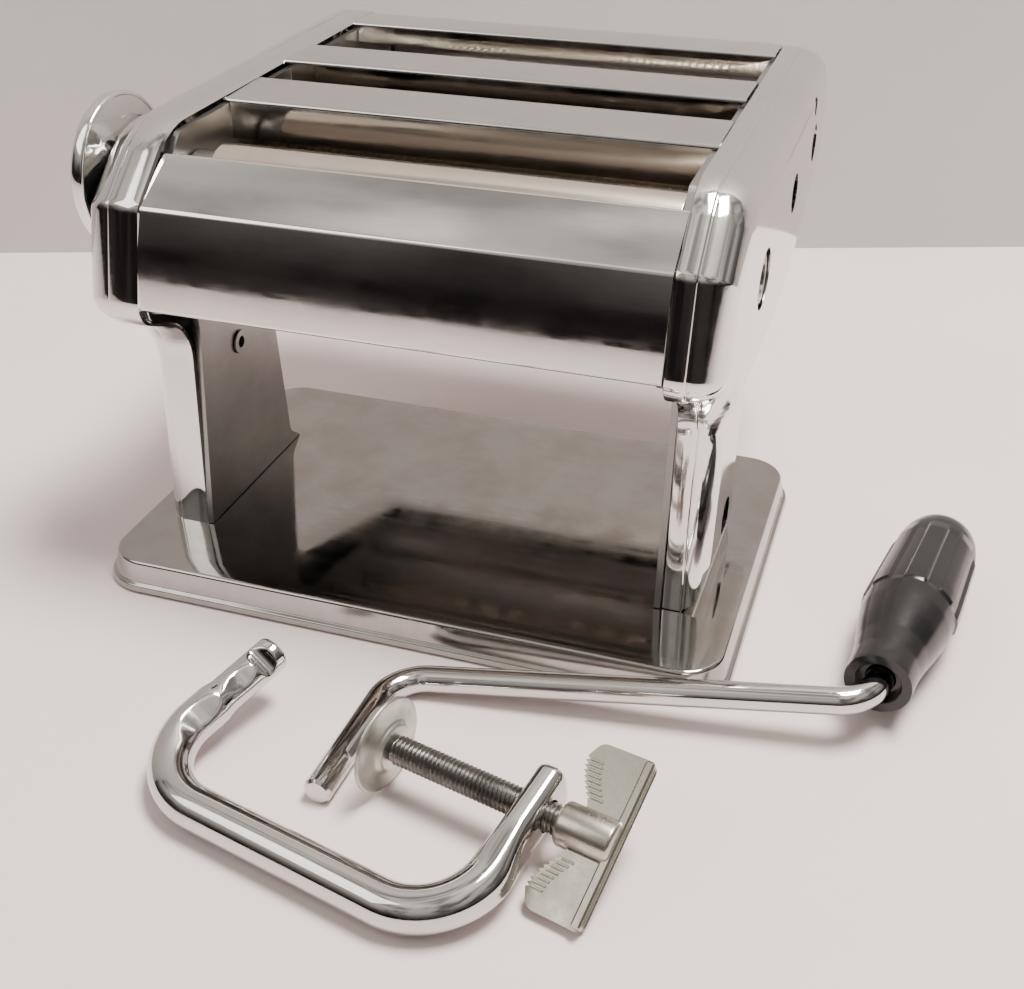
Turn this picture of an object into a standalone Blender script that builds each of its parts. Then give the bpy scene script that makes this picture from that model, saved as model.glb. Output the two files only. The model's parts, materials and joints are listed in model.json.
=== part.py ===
"""Hand-cranked pasta roller machine, with its crank and its table clamp lying in front of it.

Machine coordinates, in metres: +X along the rollers towards the crank side, +Y to the rear,
+Z up, the table top at z = 0 and the middle of the base at x = y = 0. The whole set hangs on
one empty that puts the middle of its plan at the world's origin.
Outlines in the machine's side view are lists of (y, z, corner radius).
"""

import math

import bmesh
import bpy
from mathutils import Matrix, Vector

MM = 0.001

# ---- placing of the whole set ----
SET_CENTRE_X = 30.6 * MM
SET_CENTRE_Y = -19.6 * MM

# ---- clearances and sheet ----
GAP = 0.3 * MM
SHEET = 1.0 * MM
COVER_SHEET = 0.9 * MM

# ---- base tray ----
TRAY_TOP_Z = 10.5 * MM
TRAY_HALF_X = 99.5 * MM
TRAY_HALF_Y = 64.2 * MM
TRAY_CORNER = 12.0 * MM
TRAY_RINGS = ((0.0, 10.5), (0.9, 9.7), (2.2, 3.2), (3.3, 2.7), (3.6, 0.9))
FOOT_X = 86.0 * MM
FOOT_Y = 51.0 * MM
FOOT_RADIUS = 9.0 * MM

# ---- side plates and side covers, measured outwards from the middle plane ----
PLATE_IN = 75.3 * MM
PLATE_OUT = 77.3 * MM
RIM_IN = 77.6 * MM
RIM_OUT = 83.6 * MM
COVER_FACE = 93.3 * MM
LEFT_DEEPER = 3.2 * MM
LEG_DROP = 4.2 * MM
NECK_TOP_Z = 80.0 * MM
NECK_BOTTOM_Z = 66.0 * MM
COVER_ROUND = ((0.0, 83.6), (1.3, 88.2), (4.2, 91.8), (8.5, 93.3))
COVER_OUTLINE = (
    (-36.5, 10.8, 0), (24.3, 10.8, 0), (18.4, 59.0, 10), (132.0, 99.6, 15), (134.5, 144.6, 19.5),
    (-30.0, 142.3, 25), (-50.5, 124.5, 5), (-58.6, 92.5, 7), (-31.8, 80.2, 16),
)
PLATE_OUTLINE = (
    (-37.0, 10.8, 0), (28.5, 10.8, 0), (21.9, 15.5, 4), (15.9, 78.0, 8), (129.5, 102.2, 12),
    (132.4, 142.4, 17), (-27.5, 140.2, 4), (-33.0, 134.3, 0), (-48.6, 123.4, 3),
    (-55.9, 94.5, 4), (-29.6, 84.0, 6),
)

# ---- covers between the side plates: paths of the outer face ----
FRONT_PATH = ((-54.0, 95.2, 0), (-57.6, 95.9, 1.5), (-50.5, 124.5, 3), (-33.8, 136.4, 1.2), (-32.9, 134.6, 0))
BAR_FRONT_PATH = ((2.5, 129.8, 0), (2.5, 142.1, 1.5), (26.7, 142.8, 1.5), (26.7, 130.5, 0))
BAR_REAR_PATH = ((44.9, 134.9, 0), (44.9, 144.0, 1.5), (66.8, 144.1, 1.5), (66.8, 135.0, 0))
REAR_PATH = (
    (100.4, 137.6, 0), (100.4, 144.4, 1.5), (134.5, 144.6, 19.5), (132.0, 99.6, 15), (117.0, 94.3, 0),
)

# ---- rollers: (y, z) of each axis ----
DRIVE_AXIS = (-3.3 * MM, 107.0 * MM)
ADJUST_AXIS = (-21.05 * MM, 123.71 * MM)
ROLLER_RADIUS = 11.95 * MM
FINE_FRONT_AXIS = (24.8 * MM, 116.0 * MM)
FINE_REAR_AXIS = (46.8 * MM, 116.0 * MM)
WIDE_FRONT_AXIS = (72.6 * MM, 118.0 * MM)
WIDE_REAR_AXIS = (94.6 * MM, 118.0 * MM)
CUTTER_RADIUS = 10.85 * MM
ROLLER_HALF = 74.6 * MM
ROLLER_JOURNAL = 5.0 * MM
CUTTER_JOURNAL = 4.0 * MM
ROLLER_BUSH = 7.2 * MM
CUTTER_BUSH = 5.9 * MM

# ---- gears, on the crank side between plate and cover ----
ROLLER_TEETH = 14
CUTTER_TEETH = 12
ROLLER_PITCH = 12.19 * MM
CUTTER_PITCH = 11.0 * MM
GEAR_IN = 80.2 * MM
GEAR_OUT = 85.2 * MM
SHAFT_END = 82.3 * MM
CRANK_BORE = 4.3 * MM
DRIVE_HUB = 7.2 * MM
CUTTER_HUB = 5.7 * MM
DRIVE_HUB_END = 93.6 * MM
CUTTER_HUB_END = 91.6 * MM
BUSH_IN = 75.0 * MM
BUSH_OUT = 78.8 * MM

# ---- thickness adjustment ----
ADJUST_TRAVEL = 2.6 * MM
KNOB_AXIS = (-22.0 * MM, 124.6 * MM)
KNOB_SHAFT = 4.0 * MM
ADJUST_SHAFT = 3.6 * MM
ADJUST_COLLAR = 9.0 * MM
ADJUST_LEFT_END = -66.0 * MM

# ---- tie rods between the plates ----
TIE_RODS = (("front", -45.0, 95.5), ("middle", 19.0, 97.0), ("rear", 117.0, 108.0))
TIE_ROD_RADIUS = 3.0 * MM
EYELET_AXIS = (-7.5 * MM, 64.5 * MM)

# ---- holes in the crank-side cover: (y, z, radius) ----
COVER_HOLES = (
    (-3.3, 107.0, 9.0), (46.8, 116.0, 6.1), (94.6, 118.0, 6.2), (90.0, 131.5, 3.0), (-4.0, 27.0, 6.2),
)
CLAMP_HOLE = (-4.0 * MM, 27.0 * MM)
NECK_SLOT = (-12.0 * MM, 71.0 * MM)

# ---- crank, lying on the table ----
CRANK_RADIUS = 4.0 * MM
CRANK_END = Vector((8.6, -136.0, 4.1)) * MM
CRANK_BEND = Vector((9.7, -85.5, 4.1)) * MM
CRANK_COLLAR = Vector((143.7, -57.6, 14.6)) * MM
CRANK_TIP = Vector((156.4, 24.1, 14.6)) * MM
CRANK_BEND_RADIUS = 13.0 * MM
GRIP_BORE = 4.4 * MM
GRIP_BORE_DEPTH = 68.0 * MM

# ---- clamp, lying on its spine and its pad ----
CLAMP_CORNER = Vector((-39.3, -147.5, 6.1)) * MM
CLAMP_TURN = math.radians(-13.4)
CLAMP_TILT = math.radians(11.2)
CLAMP_BAR = 6.0 * MM
CLAMP_SPINE = 100.8 * MM
CLAMP_ARM = 52.7 * MM
CLAMP_SPLAY = math.radians(7.6)
CLAMP_BEND = 20.0 * MM
SCREW_HEIGHT = 39.4 * MM
SCREW_RADIUS = 4.0 * MM
PAD_FROM_CORNER = 55.6 * MM
PAD_RADIUS = 13.4 * MM
WING_FROM_CORNER = 116.2 * MM
WING_HALF = 22.0 * MM
WING_ANGLE = math.radians(20.0)
WING_HUB = 5.8 * MM

SIDEWAYS = (math.pi / 2, 0, math.pi / 2)
SIDEWAYS_LEFT = (math.pi / 2, 0, -math.pi / 2)


# ---------------------------------------------------------------- scene and materials

for leftover in list(bpy.data.objects):
    bpy.data.objects.remove(leftover, do_unlink=True)

parts = bpy.data.collections.new("pasta_roller_machine")
cutters = bpy.data.collections.new("cutters")
cutters.hide_render = True
bpy.context.scene.collection.children.link(parts)
bpy.context.scene.collection.children.link(cutters)


def empty(name, parent=None, matrix=Matrix.Identity(4)):
    holder = bpy.data.objects.new(name, None)
    holder.empty_display_size = 0.02
    holder.matrix_local = matrix
    holder.parent = parent
    parts.objects.link(holder)
    return holder


def material(name, colour, roughness, metallic):
    made = bpy.data.materials.new(name)
    made.use_nodes = True
    shader = made.node_tree.nodes["Principled BSDF"]
    shader.inputs["Base Color"].default_value = (*colour, 1.0)
    shader.inputs["Roughness"].default_value = roughness
    shader.inputs["Metallic"].default_value = metallic
    return made


CHROME = material("chrome", (0.78, 0.77, 0.76), 0.08, 1.0)
DULL_STEEL = material("dull_steel", (0.36, 0.36, 0.35), 0.42, 1.0)
ROLLER_STEEL = material("roller_steel", (0.62, 0.60, 0.56), 0.25, 1.0)
GEAR_STEEL = material("gear_steel", (0.42, 0.41, 0.38), 0.38, 1.0)
ZINC = material("zinc_plate", (0.66, 0.64, 0.58), 0.30, 1.0)
BUSH_PLASTIC = material("bush_plastic", (0.75, 0.73, 0.68), 0.45, 0.0)
BLACK_PLASTIC = material("black_plastic", (0.02, 0.02, 0.02), 0.28, 0.0)
RUBBER = material("rubber", (0.04, 0.04, 0.04), 0.75, 0.0)

root = empty("machine", matrix=Matrix.Translation((-SET_CENTRE_X, -SET_CENTRE_Y, 0)))


# ---------------------------------------------------------------- outlines

def unit(dx, dy):
    length = math.hypot(dx, dy)
    return dx / length, dy / length


def rounded(corners, closed=True, segments=4):
    """Points of an outline in metres, with each corner of (y, z, radius) in millimetres rounded."""
    count = len(corners)
    points = []
    for i, (y, z, radius) in enumerate(corners):
        if radius == 0 or (not closed and i in (0, count - 1)):
            points.append((y * MM, z * MM))
            continue
        back = unit(corners[i - 1][0] - y, corners[i - 1][1] - z)
        ahead = unit(corners[(i + 1) % count][0] - y, corners[(i + 1) % count][1] - z)
        half = math.acos(back[0] * ahead[0] + back[1] * ahead[1]) / 2
        middle = unit(back[0] + ahead[0], back[1] + ahead[1])
        centre = (y + middle[0] * radius / math.sin(half), z + middle[1] * radius / math.sin(half))
        turn = math.pi - 2 * half
        side = 1 if back[0] * ahead[1] - back[1] * ahead[0] < 0 else -1
        start = math.atan2(-middle[1], -middle[0]) - side * turn / 2
        for step in range(segments + 1):
            angle = start + side * turn * step / segments
            points.append(
                ((centre[0] + radius * math.cos(angle)) * MM, (centre[1] + radius * math.sin(angle)) * MM)
            )
    return points


def shrunk(corners, inset):
    """The corners of a counterclockwise outline moved inwards, with radii that keep their centres."""
    count = len(corners)
    moved = []
    for i, (y, z, radius) in enumerate(corners):
        before = unit(y - corners[i - 1][0], z - corners[i - 1][1])
        after = unit(corners[(i + 1) % count][0] - y, corners[(i + 1) % count][1] - z)
        turning = before[0] * after[1] - before[1] * after[0]
        share = inset / (1 + before[0] * after[0] + before[1] * after[1])
        new_radius = radius
        if radius:
            new_radius = max(radius - inset, 0.4) if turning > 0 else radius + inset
        moved.append(
            (y - (before[1] + after[1]) * share, z + (before[0] + after[0]) * share, new_radius)
        )
    return moved


def circle(y, z, radius, steps=16):
    """Points of a circle whose sides, not only its corners, stay outside the radius given."""
    reach = radius / math.cos(math.pi / steps)
    return [
        (y + reach * math.cos(math.tau * i / steps), z + reach * math.sin(math.tau * i / steps))
        for i in range(steps)
    ]


def away_from_drive():
    """The way that the adjusted roller moves: along the line between the two axes."""
    return unit(ADJUST_AXIS[0] - DRIVE_AXIS[0], ADJUST_AXIS[1] - DRIVE_AXIS[1])


def adjust_slot(radius, steps=7):
    """A long hole that the roller's journal moves in."""
    away = away_from_drive()
    heading = math.atan2(away[1], away[0])
    points = []
    for i in range(2 * steps):
        far = ADJUST_TRAVEL if i < steps else 0
        angle = heading - math.pi / 2 + math.pi * ((i % steps) / (steps - 1) + i // steps)
        points.append((
            ADJUST_AXIS[0] + away[0] * far + radius * math.cos(angle),
            ADJUST_AXIS[1] + away[1] * far + radius * math.sin(angle),
        ))
    return points


def sheet_outline(path, thickness):
    """A closed section: the path of the outer face and the same path moved right by the thickness."""
    outer = rounded(path, closed=False, segments=3)
    inner = []
    for i, (y, z) in enumerate(outer):
        before = unit(y - outer[i - 1][0], z - outer[i - 1][1]) if i else None
        after = unit(outer[i + 1][0] - y, outer[i + 1][1] - z) if i < len(outer) - 1 else None
        before = before or after
        after = after or before
        share = thickness / (1 + before[0] * after[0] + before[1] * after[1])
        inner.append((y + (before[1] + after[1]) * share, z - (before[0] + after[0]) * share))
    return outer + inner[::-1]


# ---------------------------------------------------------------- solids

def new_object(name, mesh, look, parent=root, location=(0, 0, 0), rotation=(0, 0, 0), smooth=None):
    mesh.name = name
    mesh.materials.clear()
    mesh.materials.append(look)
    made = bpy.data.objects.new(name, mesh)
    made.location = location
    made.rotation_euler = rotation
    made.parent = parent
    parts.objects.link(made)
    if smooth is not None:
        mesh.shade_smooth()
        mesh.set_sharp_from_angle(angle=math.radians(smooth))
    return made


def make_cutter(made):
    parts.objects.unlink(made)
    cutters.objects.link(made)
    made.hide_render = True
    made.display_type = "WIRE"
    return made


def boolean(target, tool, operation="DIFFERENCE"):
    modifier = target.modifiers.new(f"{operation.lower()}_{tool.name}", "BOOLEAN")
    modifier.object = tool
    modifier.operation = operation
    modifier.solver = "EXACT"


def mesh_from_curve(curve):
    """A welded mesh of a curve, which is removed."""
    holder = bpy.data.objects.new("curve_holder", curve)
    bpy.context.scene.collection.objects.link(holder)
    graph = bpy.context.evaluated_depsgraph_get()
    mesh = bpy.data.meshes.new_from_object(holder.evaluated_get(graph))
    bpy.data.objects.remove(holder)
    bpy.data.curves.remove(curve)
    shell = bmesh.new()
    shell.from_mesh(mesh)
    bmesh.ops.remove_doubles(shell, verts=shell.verts, dist=1e-6)
    bmesh.ops.recalc_face_normals(shell, faces=shell.faces)
    shell.to_mesh(mesh)
    shell.free()
    return mesh


def flat_mesh(loops, thickness):
    """A plate of the outline loops[0] with the other loops as holes, centred on its local XY plane."""
    curve = bpy.data.curves.new("outline", "CURVE")
    curve.dimensions = "2D"
    curve.fill_mode = "BOTH"
    curve.extrude = thickness / 2
    for loop in loops:
        spline = curve.splines.new("POLY")
        spline.points.add(len(loop) - 1)
        for point, (y, z) in zip(spline.points, loop):
            point.co = (y, z, 0, 1)
        spline.use_cyclic_u = True
    return mesh_from_curve(curve)


def across(name, loops, x_start, x_end, look, parent=root, axis=(0.0, 0.0)):
    """A side-view outline that runs along X; its origin lies on the axis (y, z) given."""
    local = [[(y - axis[0], z - axis[1]) for y, z in loop] for loop in loops]
    mesh = flat_mesh(local, x_end - x_start)
    middle = ((x_start + x_end) / 2, axis[0], axis[1])
    return new_object(name, mesh, look, parent, middle, SIDEWAYS)


def turned(name, profile, look, parent=root, location=(0, 0, 0), rotation=(0, 0, 0), steps=20, ring=False):
    """A profile of (radius, height) in millimetres, down its outer side, turned about local Z."""
    shell = bmesh.new()
    verts = [shell.verts.new((radius * MM, 0, height * MM)) for radius, height in profile]
    for first, second in zip(verts, verts[1:]):
        shell.edges.new((first, second))
    if ring:
        shell.edges.new((verts[-1], verts[0]))
    mesh = bpy.data.meshes.new(name)
    shell.to_mesh(mesh)
    shell.free()
    made = new_object(name, mesh, look, parent, location, rotation)
    screw = made.modifiers.new("turn", "SCREW")
    screw.steps = steps
    screw.render_steps = steps
    screw.use_merge_vertices = True
    screw.merge_threshold = 1e-6
    screw.use_smooth_shade = True
    return made


def turned_side(name, profile, look, axis, side=1, parent=root, steps=20, ring=False):
    """A turned piece on an axis (y, z) along X; heights are measured outwards on its side."""
    rotation = SIDEWAYS if side > 0 else SIDEWAYS_LEFT
    return turned(name, profile, look, parent, (0, axis[0], axis[1]), rotation, steps, ring)


def rod(name, radius, start, end, look, axis, side=1, parent=root, steps=16):
    """A plain round bar between two distances from the middle plane."""
    profile = ((0, end / MM), (radius / MM, end / MM), (radius / MM, start / MM), (0, start / MM))
    return turned_side(name, profile, look, axis, side, parent, steps)


def sleeve(name, outer, bore, start, end, look, axis, side=1, parent=root, steps=16, flange=None):
    """A bush: bored, with an optional flange (radius, distance where it begins) at its outer end."""
    top = end / MM
    profile = [(bore / MM, top)]
    if flange:
        profile += [(flange[0] / MM, top), (flange[0] / MM, flange[1] / MM), (outer / MM, flange[1] / MM)]
    else:
        profile.append((outer / MM, top))
    profile += [(outer / MM, start / MM), (bore / MM, start / MM)]
    return turned_side(name, profile, look, axis, side, parent, steps, ring=True)


def arc_path(points, bend_radius, segments=5):
    """Points of a wire whose inner corners are rounded, as vectors."""
    path = [points[0]]
    for before, corner, after in zip(points, points[1:], points[2:]):
        back = (before - corner).normalized()
        ahead = (after - corner).normalized()
        half = back.angle(ahead) / 2
        centre = corner + (back + ahead).normalized() * bend_radius / math.sin(half)
        first = corner + back * bend_radius / math.tan(half) - centre
        last = corner + ahead * bend_radius / math.tan(half) - centre
        for step in range(segments + 1):
            path.append(centre + first.slerp(last, step / segments).normalized() * bend_radius)
    path.append(points[-1])
    return path


def bar_mesh(path, radius, radii=None, resolution=4):
    """A round bar along a list of vectors; radii scale it point by point."""
    curve = bpy.data.curves.new("bar", "CURVE")
    curve.dimensions = "3D"
    curve.bevel_depth = radius
    curve.bevel_resolution = resolution
    curve.use_fill_caps = True
    spline = curve.splines.new("POLY")
    spline.points.add(len(path) - 1)
    for i, (point, place) in enumerate(zip(spline.points, path)):
        point.co = (*place, 1)
        point.radius = radii[i] if radii else 1.0
    return mesh_from_curve(curve)


# ---------------------------------------------------------------- base tray and feet

def rounded_rectangle(half_x, half_y, radius, segments=4):
    corners = (
        (half_x / MM, half_y / MM, radius / MM), (-half_x / MM, half_y / MM, radius / MM),
        (-half_x / MM, -half_y / MM, radius / MM), (half_x / MM, -half_y / MM, radius / MM),
    )
    return rounded(corners, segments=segments)


def base_tray():
    """The pressed tray: flat top, sloping skirt, step and lip, as an open surface given thickness."""
    shell = bmesh.new()
    rings = []
    for spread, height in TRAY_RINGS:
        grow = spread * MM
        loop = rounded_rectangle(TRAY_HALF_X + grow, TRAY_HALF_Y + grow, TRAY_CORNER + grow)
        rings.append([shell.verts.new((x, y, height * MM)) for x, y in loop])
    shell.faces.new(rings[0])
    for upper, lower in zip(rings, rings[1:]):
        for i, vert in enumerate(upper):
            shell.faces.new((upper[i - 1], lower[i - 1], lower[i], vert))
    mesh = bpy.data.meshes.new("base_tray")
    shell.to_mesh(mesh)
    shell.free()
    tray = new_object("base_tray", mesh, CHROME)
    solidify = tray.modifiers.new("sheet", "SOLIDIFY")
    solidify.thickness = COVER_SHEET
    solidify.offset = -1
    solidify.use_even_offset = True
    return tray


def feet():
    """Four soft pads that carry the tray from inside and stand a little below its lip."""
    top = (TRAY_TOP_Z - COVER_SHEET - GAP) / MM
    radius = FOOT_RADIUS / MM
    profile = ((0, top), (radius - 2, top), (radius - 1, 2.0), (radius, 1.2), (radius - 0.5, 0), (0, 0))
    for end, y in (("front", -FOOT_Y), ("rear", FOOT_Y)):
        for side, x in (("left", -FOOT_X), ("right", FOOT_X)):
            turned(f"foot_{end}_{side}", profile, RUBBER, location=(x, y, 0), steps=16)


# ---------------------------------------------------------------- side covers and plates

def cover_shell(name, side):
    """One pressed cover: rim round the housing end and the leg, rounded over to the outer face."""
    shell = bmesh.new()
    rings = []
    for inset, x in ((0.0, RIM_IN / MM),) + COVER_ROUND:
        loop = rounded(shrunk(COVER_OUTLINE, inset))
        rings.append([shell.verts.new((x * MM, y, z)) for y, z in loop])
    for inner, outer in zip(rings, rings[1:]):
        for i, vert in enumerate(inner):
            shell.faces.new((inner[i - 1], vert, outer[i], outer[i - 1]))
    shell.faces.new(rings[-1])
    for height in (NECK_BOTTOM_Z, NECK_TOP_Z):
        everything = shell.verts[:] + shell.edges[:] + shell.faces[:]
        bmesh.ops.bisect_plane(shell, geom=everything, plane_co=(0, 0, height), plane_no=(0, 0, 1))
    for vert in shell.verts:
        share = max(vert.co.x - RIM_OUT, 0) / (COVER_FACE - RIM_OUT)
        fall = (NECK_TOP_Z - vert.co.z) / (NECK_TOP_Z - NECK_BOTTOM_Z)
        vert.co.x -= LEG_DROP * share * min(max(fall, 0), 1)
    if side < 0:
        for vert in shell.verts:
            deeper = LEFT_DEEPER if vert.co.x > (RIM_IN + RIM_OUT) / 2 else 0
            vert.co.x = -(vert.co.x + deeper)
        bmesh.ops.reverse_faces(shell, faces=shell.faces[:])
    mesh = bpy.data.meshes.new(name)
    shell.to_mesh(mesh)
    shell.free()
    cover = new_object(name, mesh, CHROME)
    solidify = cover.modifiers.new("sheet", "SOLIDIFY")
    solidify.thickness = COVER_SHEET
    solidify.offset = -1
    solidify.use_even_offset = True
    return cover


def side_covers():
    left = cover_shell("side_cover_left", -1)
    right = cover_shell("side_cover_right", 1)
    cut_from, cut_to = 86.5 * MM, 100 * MM
    for i, (y, z, radius) in enumerate(COVER_HOLES):
        tool = rod(f"cover_hole_{i}", radius * MM, cut_from, cut_to, CHROME, (y * MM, z * MM), steps=20)
        boolean(right, make_cutter(tool))
    knob_hole = rod("knob_hole", 7.8 * MM, cut_from, cut_to, CHROME, KNOB_AXIS, side=-1, steps=20)
    boolean(left, make_cutter(knob_hole))
    slot_corners = ((-10.0, -2.3, 2.2), (10.0, -2.3, 2.2), (10.0, 2.3, 2.2), (-10.0, 2.3, 2.2))
    slot_mesh = flat_mesh([rounded(slot_corners, segments=3)], 14 * MM)
    neck_slot = new_object(
        "neck_slot", slot_mesh, CHROME, location=(90 * MM, *NECK_SLOT), rotation=SIDEWAYS
    )
    boolean(right, make_cutter(neck_slot))


def plate_holes(side):
    holes = [circle(*DRIVE_AXIS, ROLLER_BUSH + GAP)]
    for axis in (FINE_FRONT_AXIS, FINE_REAR_AXIS, WIDE_FRONT_AXIS, WIDE_REAR_AXIS):
        holes.append(circle(*axis, CUTTER_BUSH + GAP, steps=12))
    for _, y, z in TIE_RODS:
        holes.append(circle(y * MM, z * MM, TIE_ROD_RADIUS + GAP, steps=10))
    holes.append(circle(*EYELET_AXIS, 2.9 * MM, steps=12))
    if side > 0:
        holes.append(circle(*CLAMP_HOLE, 6.2 * MM))
        holes.append(adjust_slot(ROLLER_JOURNAL + GAP))
    else:
        holes.append(circle(*KNOB_AXIS, CUTTER_BUSH + GAP))
    return holes


def side_plates():
    outline = rounded(PLATE_OUTLINE, segments=3)
    for name, side in (("left", -1), ("right", 1)):
        start, end = sorted((side * PLATE_IN, side * PLATE_OUT))
        across(f"side_plate_{name}", [outline] + plate_holes(side), start, end, DULL_STEEL)
        eyelet = ((2.0, 77.4), (2.6, 77.4), (2.6, 75.0), (4.0, 75.0), (4.0, 74.4), (2.0, 74.4))
        turned_side(f"plate_eyelet_{name}", eyelet, DULL_STEEL, EYELET_AXIS, side, steps=12, ring=True)


def tie_rods():
    """Each rod holds the plates apart with its shoulders and is riveted over outside them."""
    shoulder = (PLATE_IN - GAP) / MM
    head_in = (PLATE_OUT + GAP) / MM
    thick = TIE_ROD_RADIUS / MM
    half = (
        (0, head_in + 1.4), (3.0, head_in + 1.4), (4.2, head_in + 0.7), (4.2, head_in), (thick, head_in),
        (thick, shoulder), (4.0, shoulder),
    )
    profile = half + tuple((radius, -height) for radius, height in reversed(half))
    for name, y, z in TIE_RODS:
        turned_side(f"tie_rod_{name}", profile, DULL_STEEL, (y * MM, z * MM), steps=10)


# ---------------------------------------------------------------- covers between the plates

def sheet_covers():
    """The front cover, the two slot bars and the rear cover, notched round the side plates."""
    clear = [rounded(shrunk(PLATE_OUTLINE, -GAP / MM), segments=3)]
    notches = []
    for side in (-1, 1):
        start, end = sorted((side * (PLATE_IN - GAP), side * (PLATE_OUT + 1 * MM)))
        notches.append(make_cutter(across(f"plate_notch_{side}", clear, start, end, CHROME)))
    half = PLATE_OUT
    for name, path in (
        ("front_cover", FRONT_PATH), ("slot_bar_front", BAR_FRONT_PATH),
        ("slot_bar_rear", BAR_REAR_PATH), ("rear_cover", REAR_PATH),
    ):
        cover = across(name, [sheet_outline(path, SHEET)], -half, half, CHROME)
        for notch in notches:
            boolean(cover, notch)


# ---------------------------------------------------------------- scrapers and combs

def scrapers():
    """Spring strips that reach up to the underside of each roller and cutter."""
    reach = PLATE_IN - GAP
    strips = (
        ("scraper_front", (-25.0, 111.0), (-29.0, 97.0)), ("scraper_rear", (-3.5, 93.9), (-9.5, 84.0)),
        ("comb_fine_front", (26.0, 104.6), (31.0, 95.0)), ("comb_fine_rear", (45.6, 104.6), (40.6, 95.0)),
        ("comb_wide_front", (73.8, 106.6), (78.8, 97.0)), ("comb_wide_rear", (93.4, 106.6), (88.4, 97.0)),
    )
    for name, tip, foot in strips:
        outward = 5.0 if foot[0] < tip[0] else -5.0
        path = ((*tip, 0), (*foot, 1.5), (foot[0] + outward, foot[1] - 3.0, 0))
        across(name, [sheet_outline(path, 0.8 * MM)], -reach, reach, DULL_STEEL)


# ---------------------------------------------------------------- rollers, bushes and gears

def gear_outline(teeth, pitch_radius, turn):
    """Trapezoid teeth with generous backlash; turn places the first tooth."""
    step = math.tau / teeth
    tip, root_circle = pitch_radius + 1.35 * MM, pitch_radius - 1.95 * MM
    points = []
    for i in range(teeth):
        middle = turn + i * step
        for radius, share in ((root_circle, -0.29), (tip, -0.105), (tip, 0.105), (root_circle, 0.29)):
            angle = middle + share * step
            points.append((radius * math.cos(angle), radius * math.sin(angle)))
    return points


def gear(name, axis, teeth, pitch_radius, bore, turn, parent):
    outline = [(axis[0] + y, axis[1] + z) for y, z in gear_outline(teeth, pitch_radius, turn)]
    hole = circle(*axis, bore, steps=12)
    return across(name, [outline, hole], GEAR_IN, GEAR_OUT, GEAR_STEEL, parent, axis)


def driven_gear(name, axis, teeth, pitch_radius, bore, turn, hub, hub_end, parent):
    """A gear whose long hub is bored for the crank; the shaft ends inside the gear."""
    outline = [(axis[0] + y, axis[1] + z) for y, z in gear_outline(teeth, pitch_radius, turn)]
    made = across(name, [outline], GEAR_IN, GEAR_OUT, GEAR_STEEL, parent, axis)
    hub_tool = rod(f"{name}_hub", hub, SHAFT_END, hub_end, GEAR_STEEL, axis)
    socket = rod(f"{name}_socket", CRANK_BORE, SHAFT_END - 1 * MM, hub_end + 2 * MM, GEAR_STEEL, axis)
    seat = rod(f"{name}_seat", bore, GEAR_IN - 2 * MM, SHAFT_END + GAP, GEAR_STEEL, axis)
    boolean(made, make_cutter(hub_tool), "UNION")
    boolean(made, make_cutter(socket))
    boolean(made, make_cutter(seat))
    return made


def roller(name, axis, radius, journal, parent, driven=True, steps=24):
    """A roller with its two journals; the one on the crank side carries the gear."""
    thick, thin, half = radius / MM, journal / MM, ROLLER_HALF / MM
    far = SHAFT_END / MM
    profile = (
        (0, far), (thin - 0.3, far), (thin, far - 0.5), (thin, half), (thick - 0.5, half),
        (thick, half - 0.5), (thick, -half + 0.5), (thick - 0.5, -half), (thin, -half),
        (thin, -79.3), (0, -79.3),
    )
    if not driven:
        profile = ((0, GEAR_OUT / MM), (thin, GEAR_OUT / MM)) + profile[3:]
    finish = ROLLER_STEEL
    made = turned_side(name, profile, finish, axis, parent=parent, steps=steps)
    return made


def axis_empty(name, axis, parent=root):
    return empty(name, parent, Matrix.Translation((0, axis[0], axis[1])))


def on_axis(objects, axis):
    """Moves objects that were placed in machine coordinates under an empty that lies on their axis."""
    for made in objects:
        made.location.y -= axis[0]
        made.location.z -= axis[1]


def hollow_roller(parent):
    """The adjusted roller: it turns on a shaft and carries its gear on one hollow journal."""
    thick, thin, half = ROLLER_RADIUS / MM, ROLLER_JOURNAL / MM, ROLLER_HALF / MM
    bore, left, far = (ADJUST_SHAFT + GAP) / MM, ADJUST_LEFT_END / MM, GEAR_OUT / MM
    profile = (
        (bore, far), (thin, far), (thin, half), (thick - 0.5, half), (thick, half - 0.5),
        (thick, left + 0.5), (thick - 0.5, left), (bore, left),
    )
    return turned_side(
        "adjust_roller", profile, ROLLER_STEEL, ADJUST_AXIS, parent=parent, steps=24, ring=True
    )


def adjust_shaft(parent):
    """The shaft that the knob shifts, with a collar between its roller and the left plate."""
    shaft, collar = ADJUST_SHAFT / MM, ADJUST_COLLAR / MM
    inner, outer, end = (ADJUST_LEFT_END - GAP) / MM, (GAP - BUSH_IN) / MM, GEAR_OUT / MM + 1.5
    profile = (
        (0, end), (shaft - 0.4, end), (shaft, end - 0.4), (shaft, inner), (collar, inner), (collar, outer),
        (0, outer),
    )
    return turned_side("adjust_shaft", profile, GEAR_STEEL, ADJUST_AXIS, parent=parent, steps=20)


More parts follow.
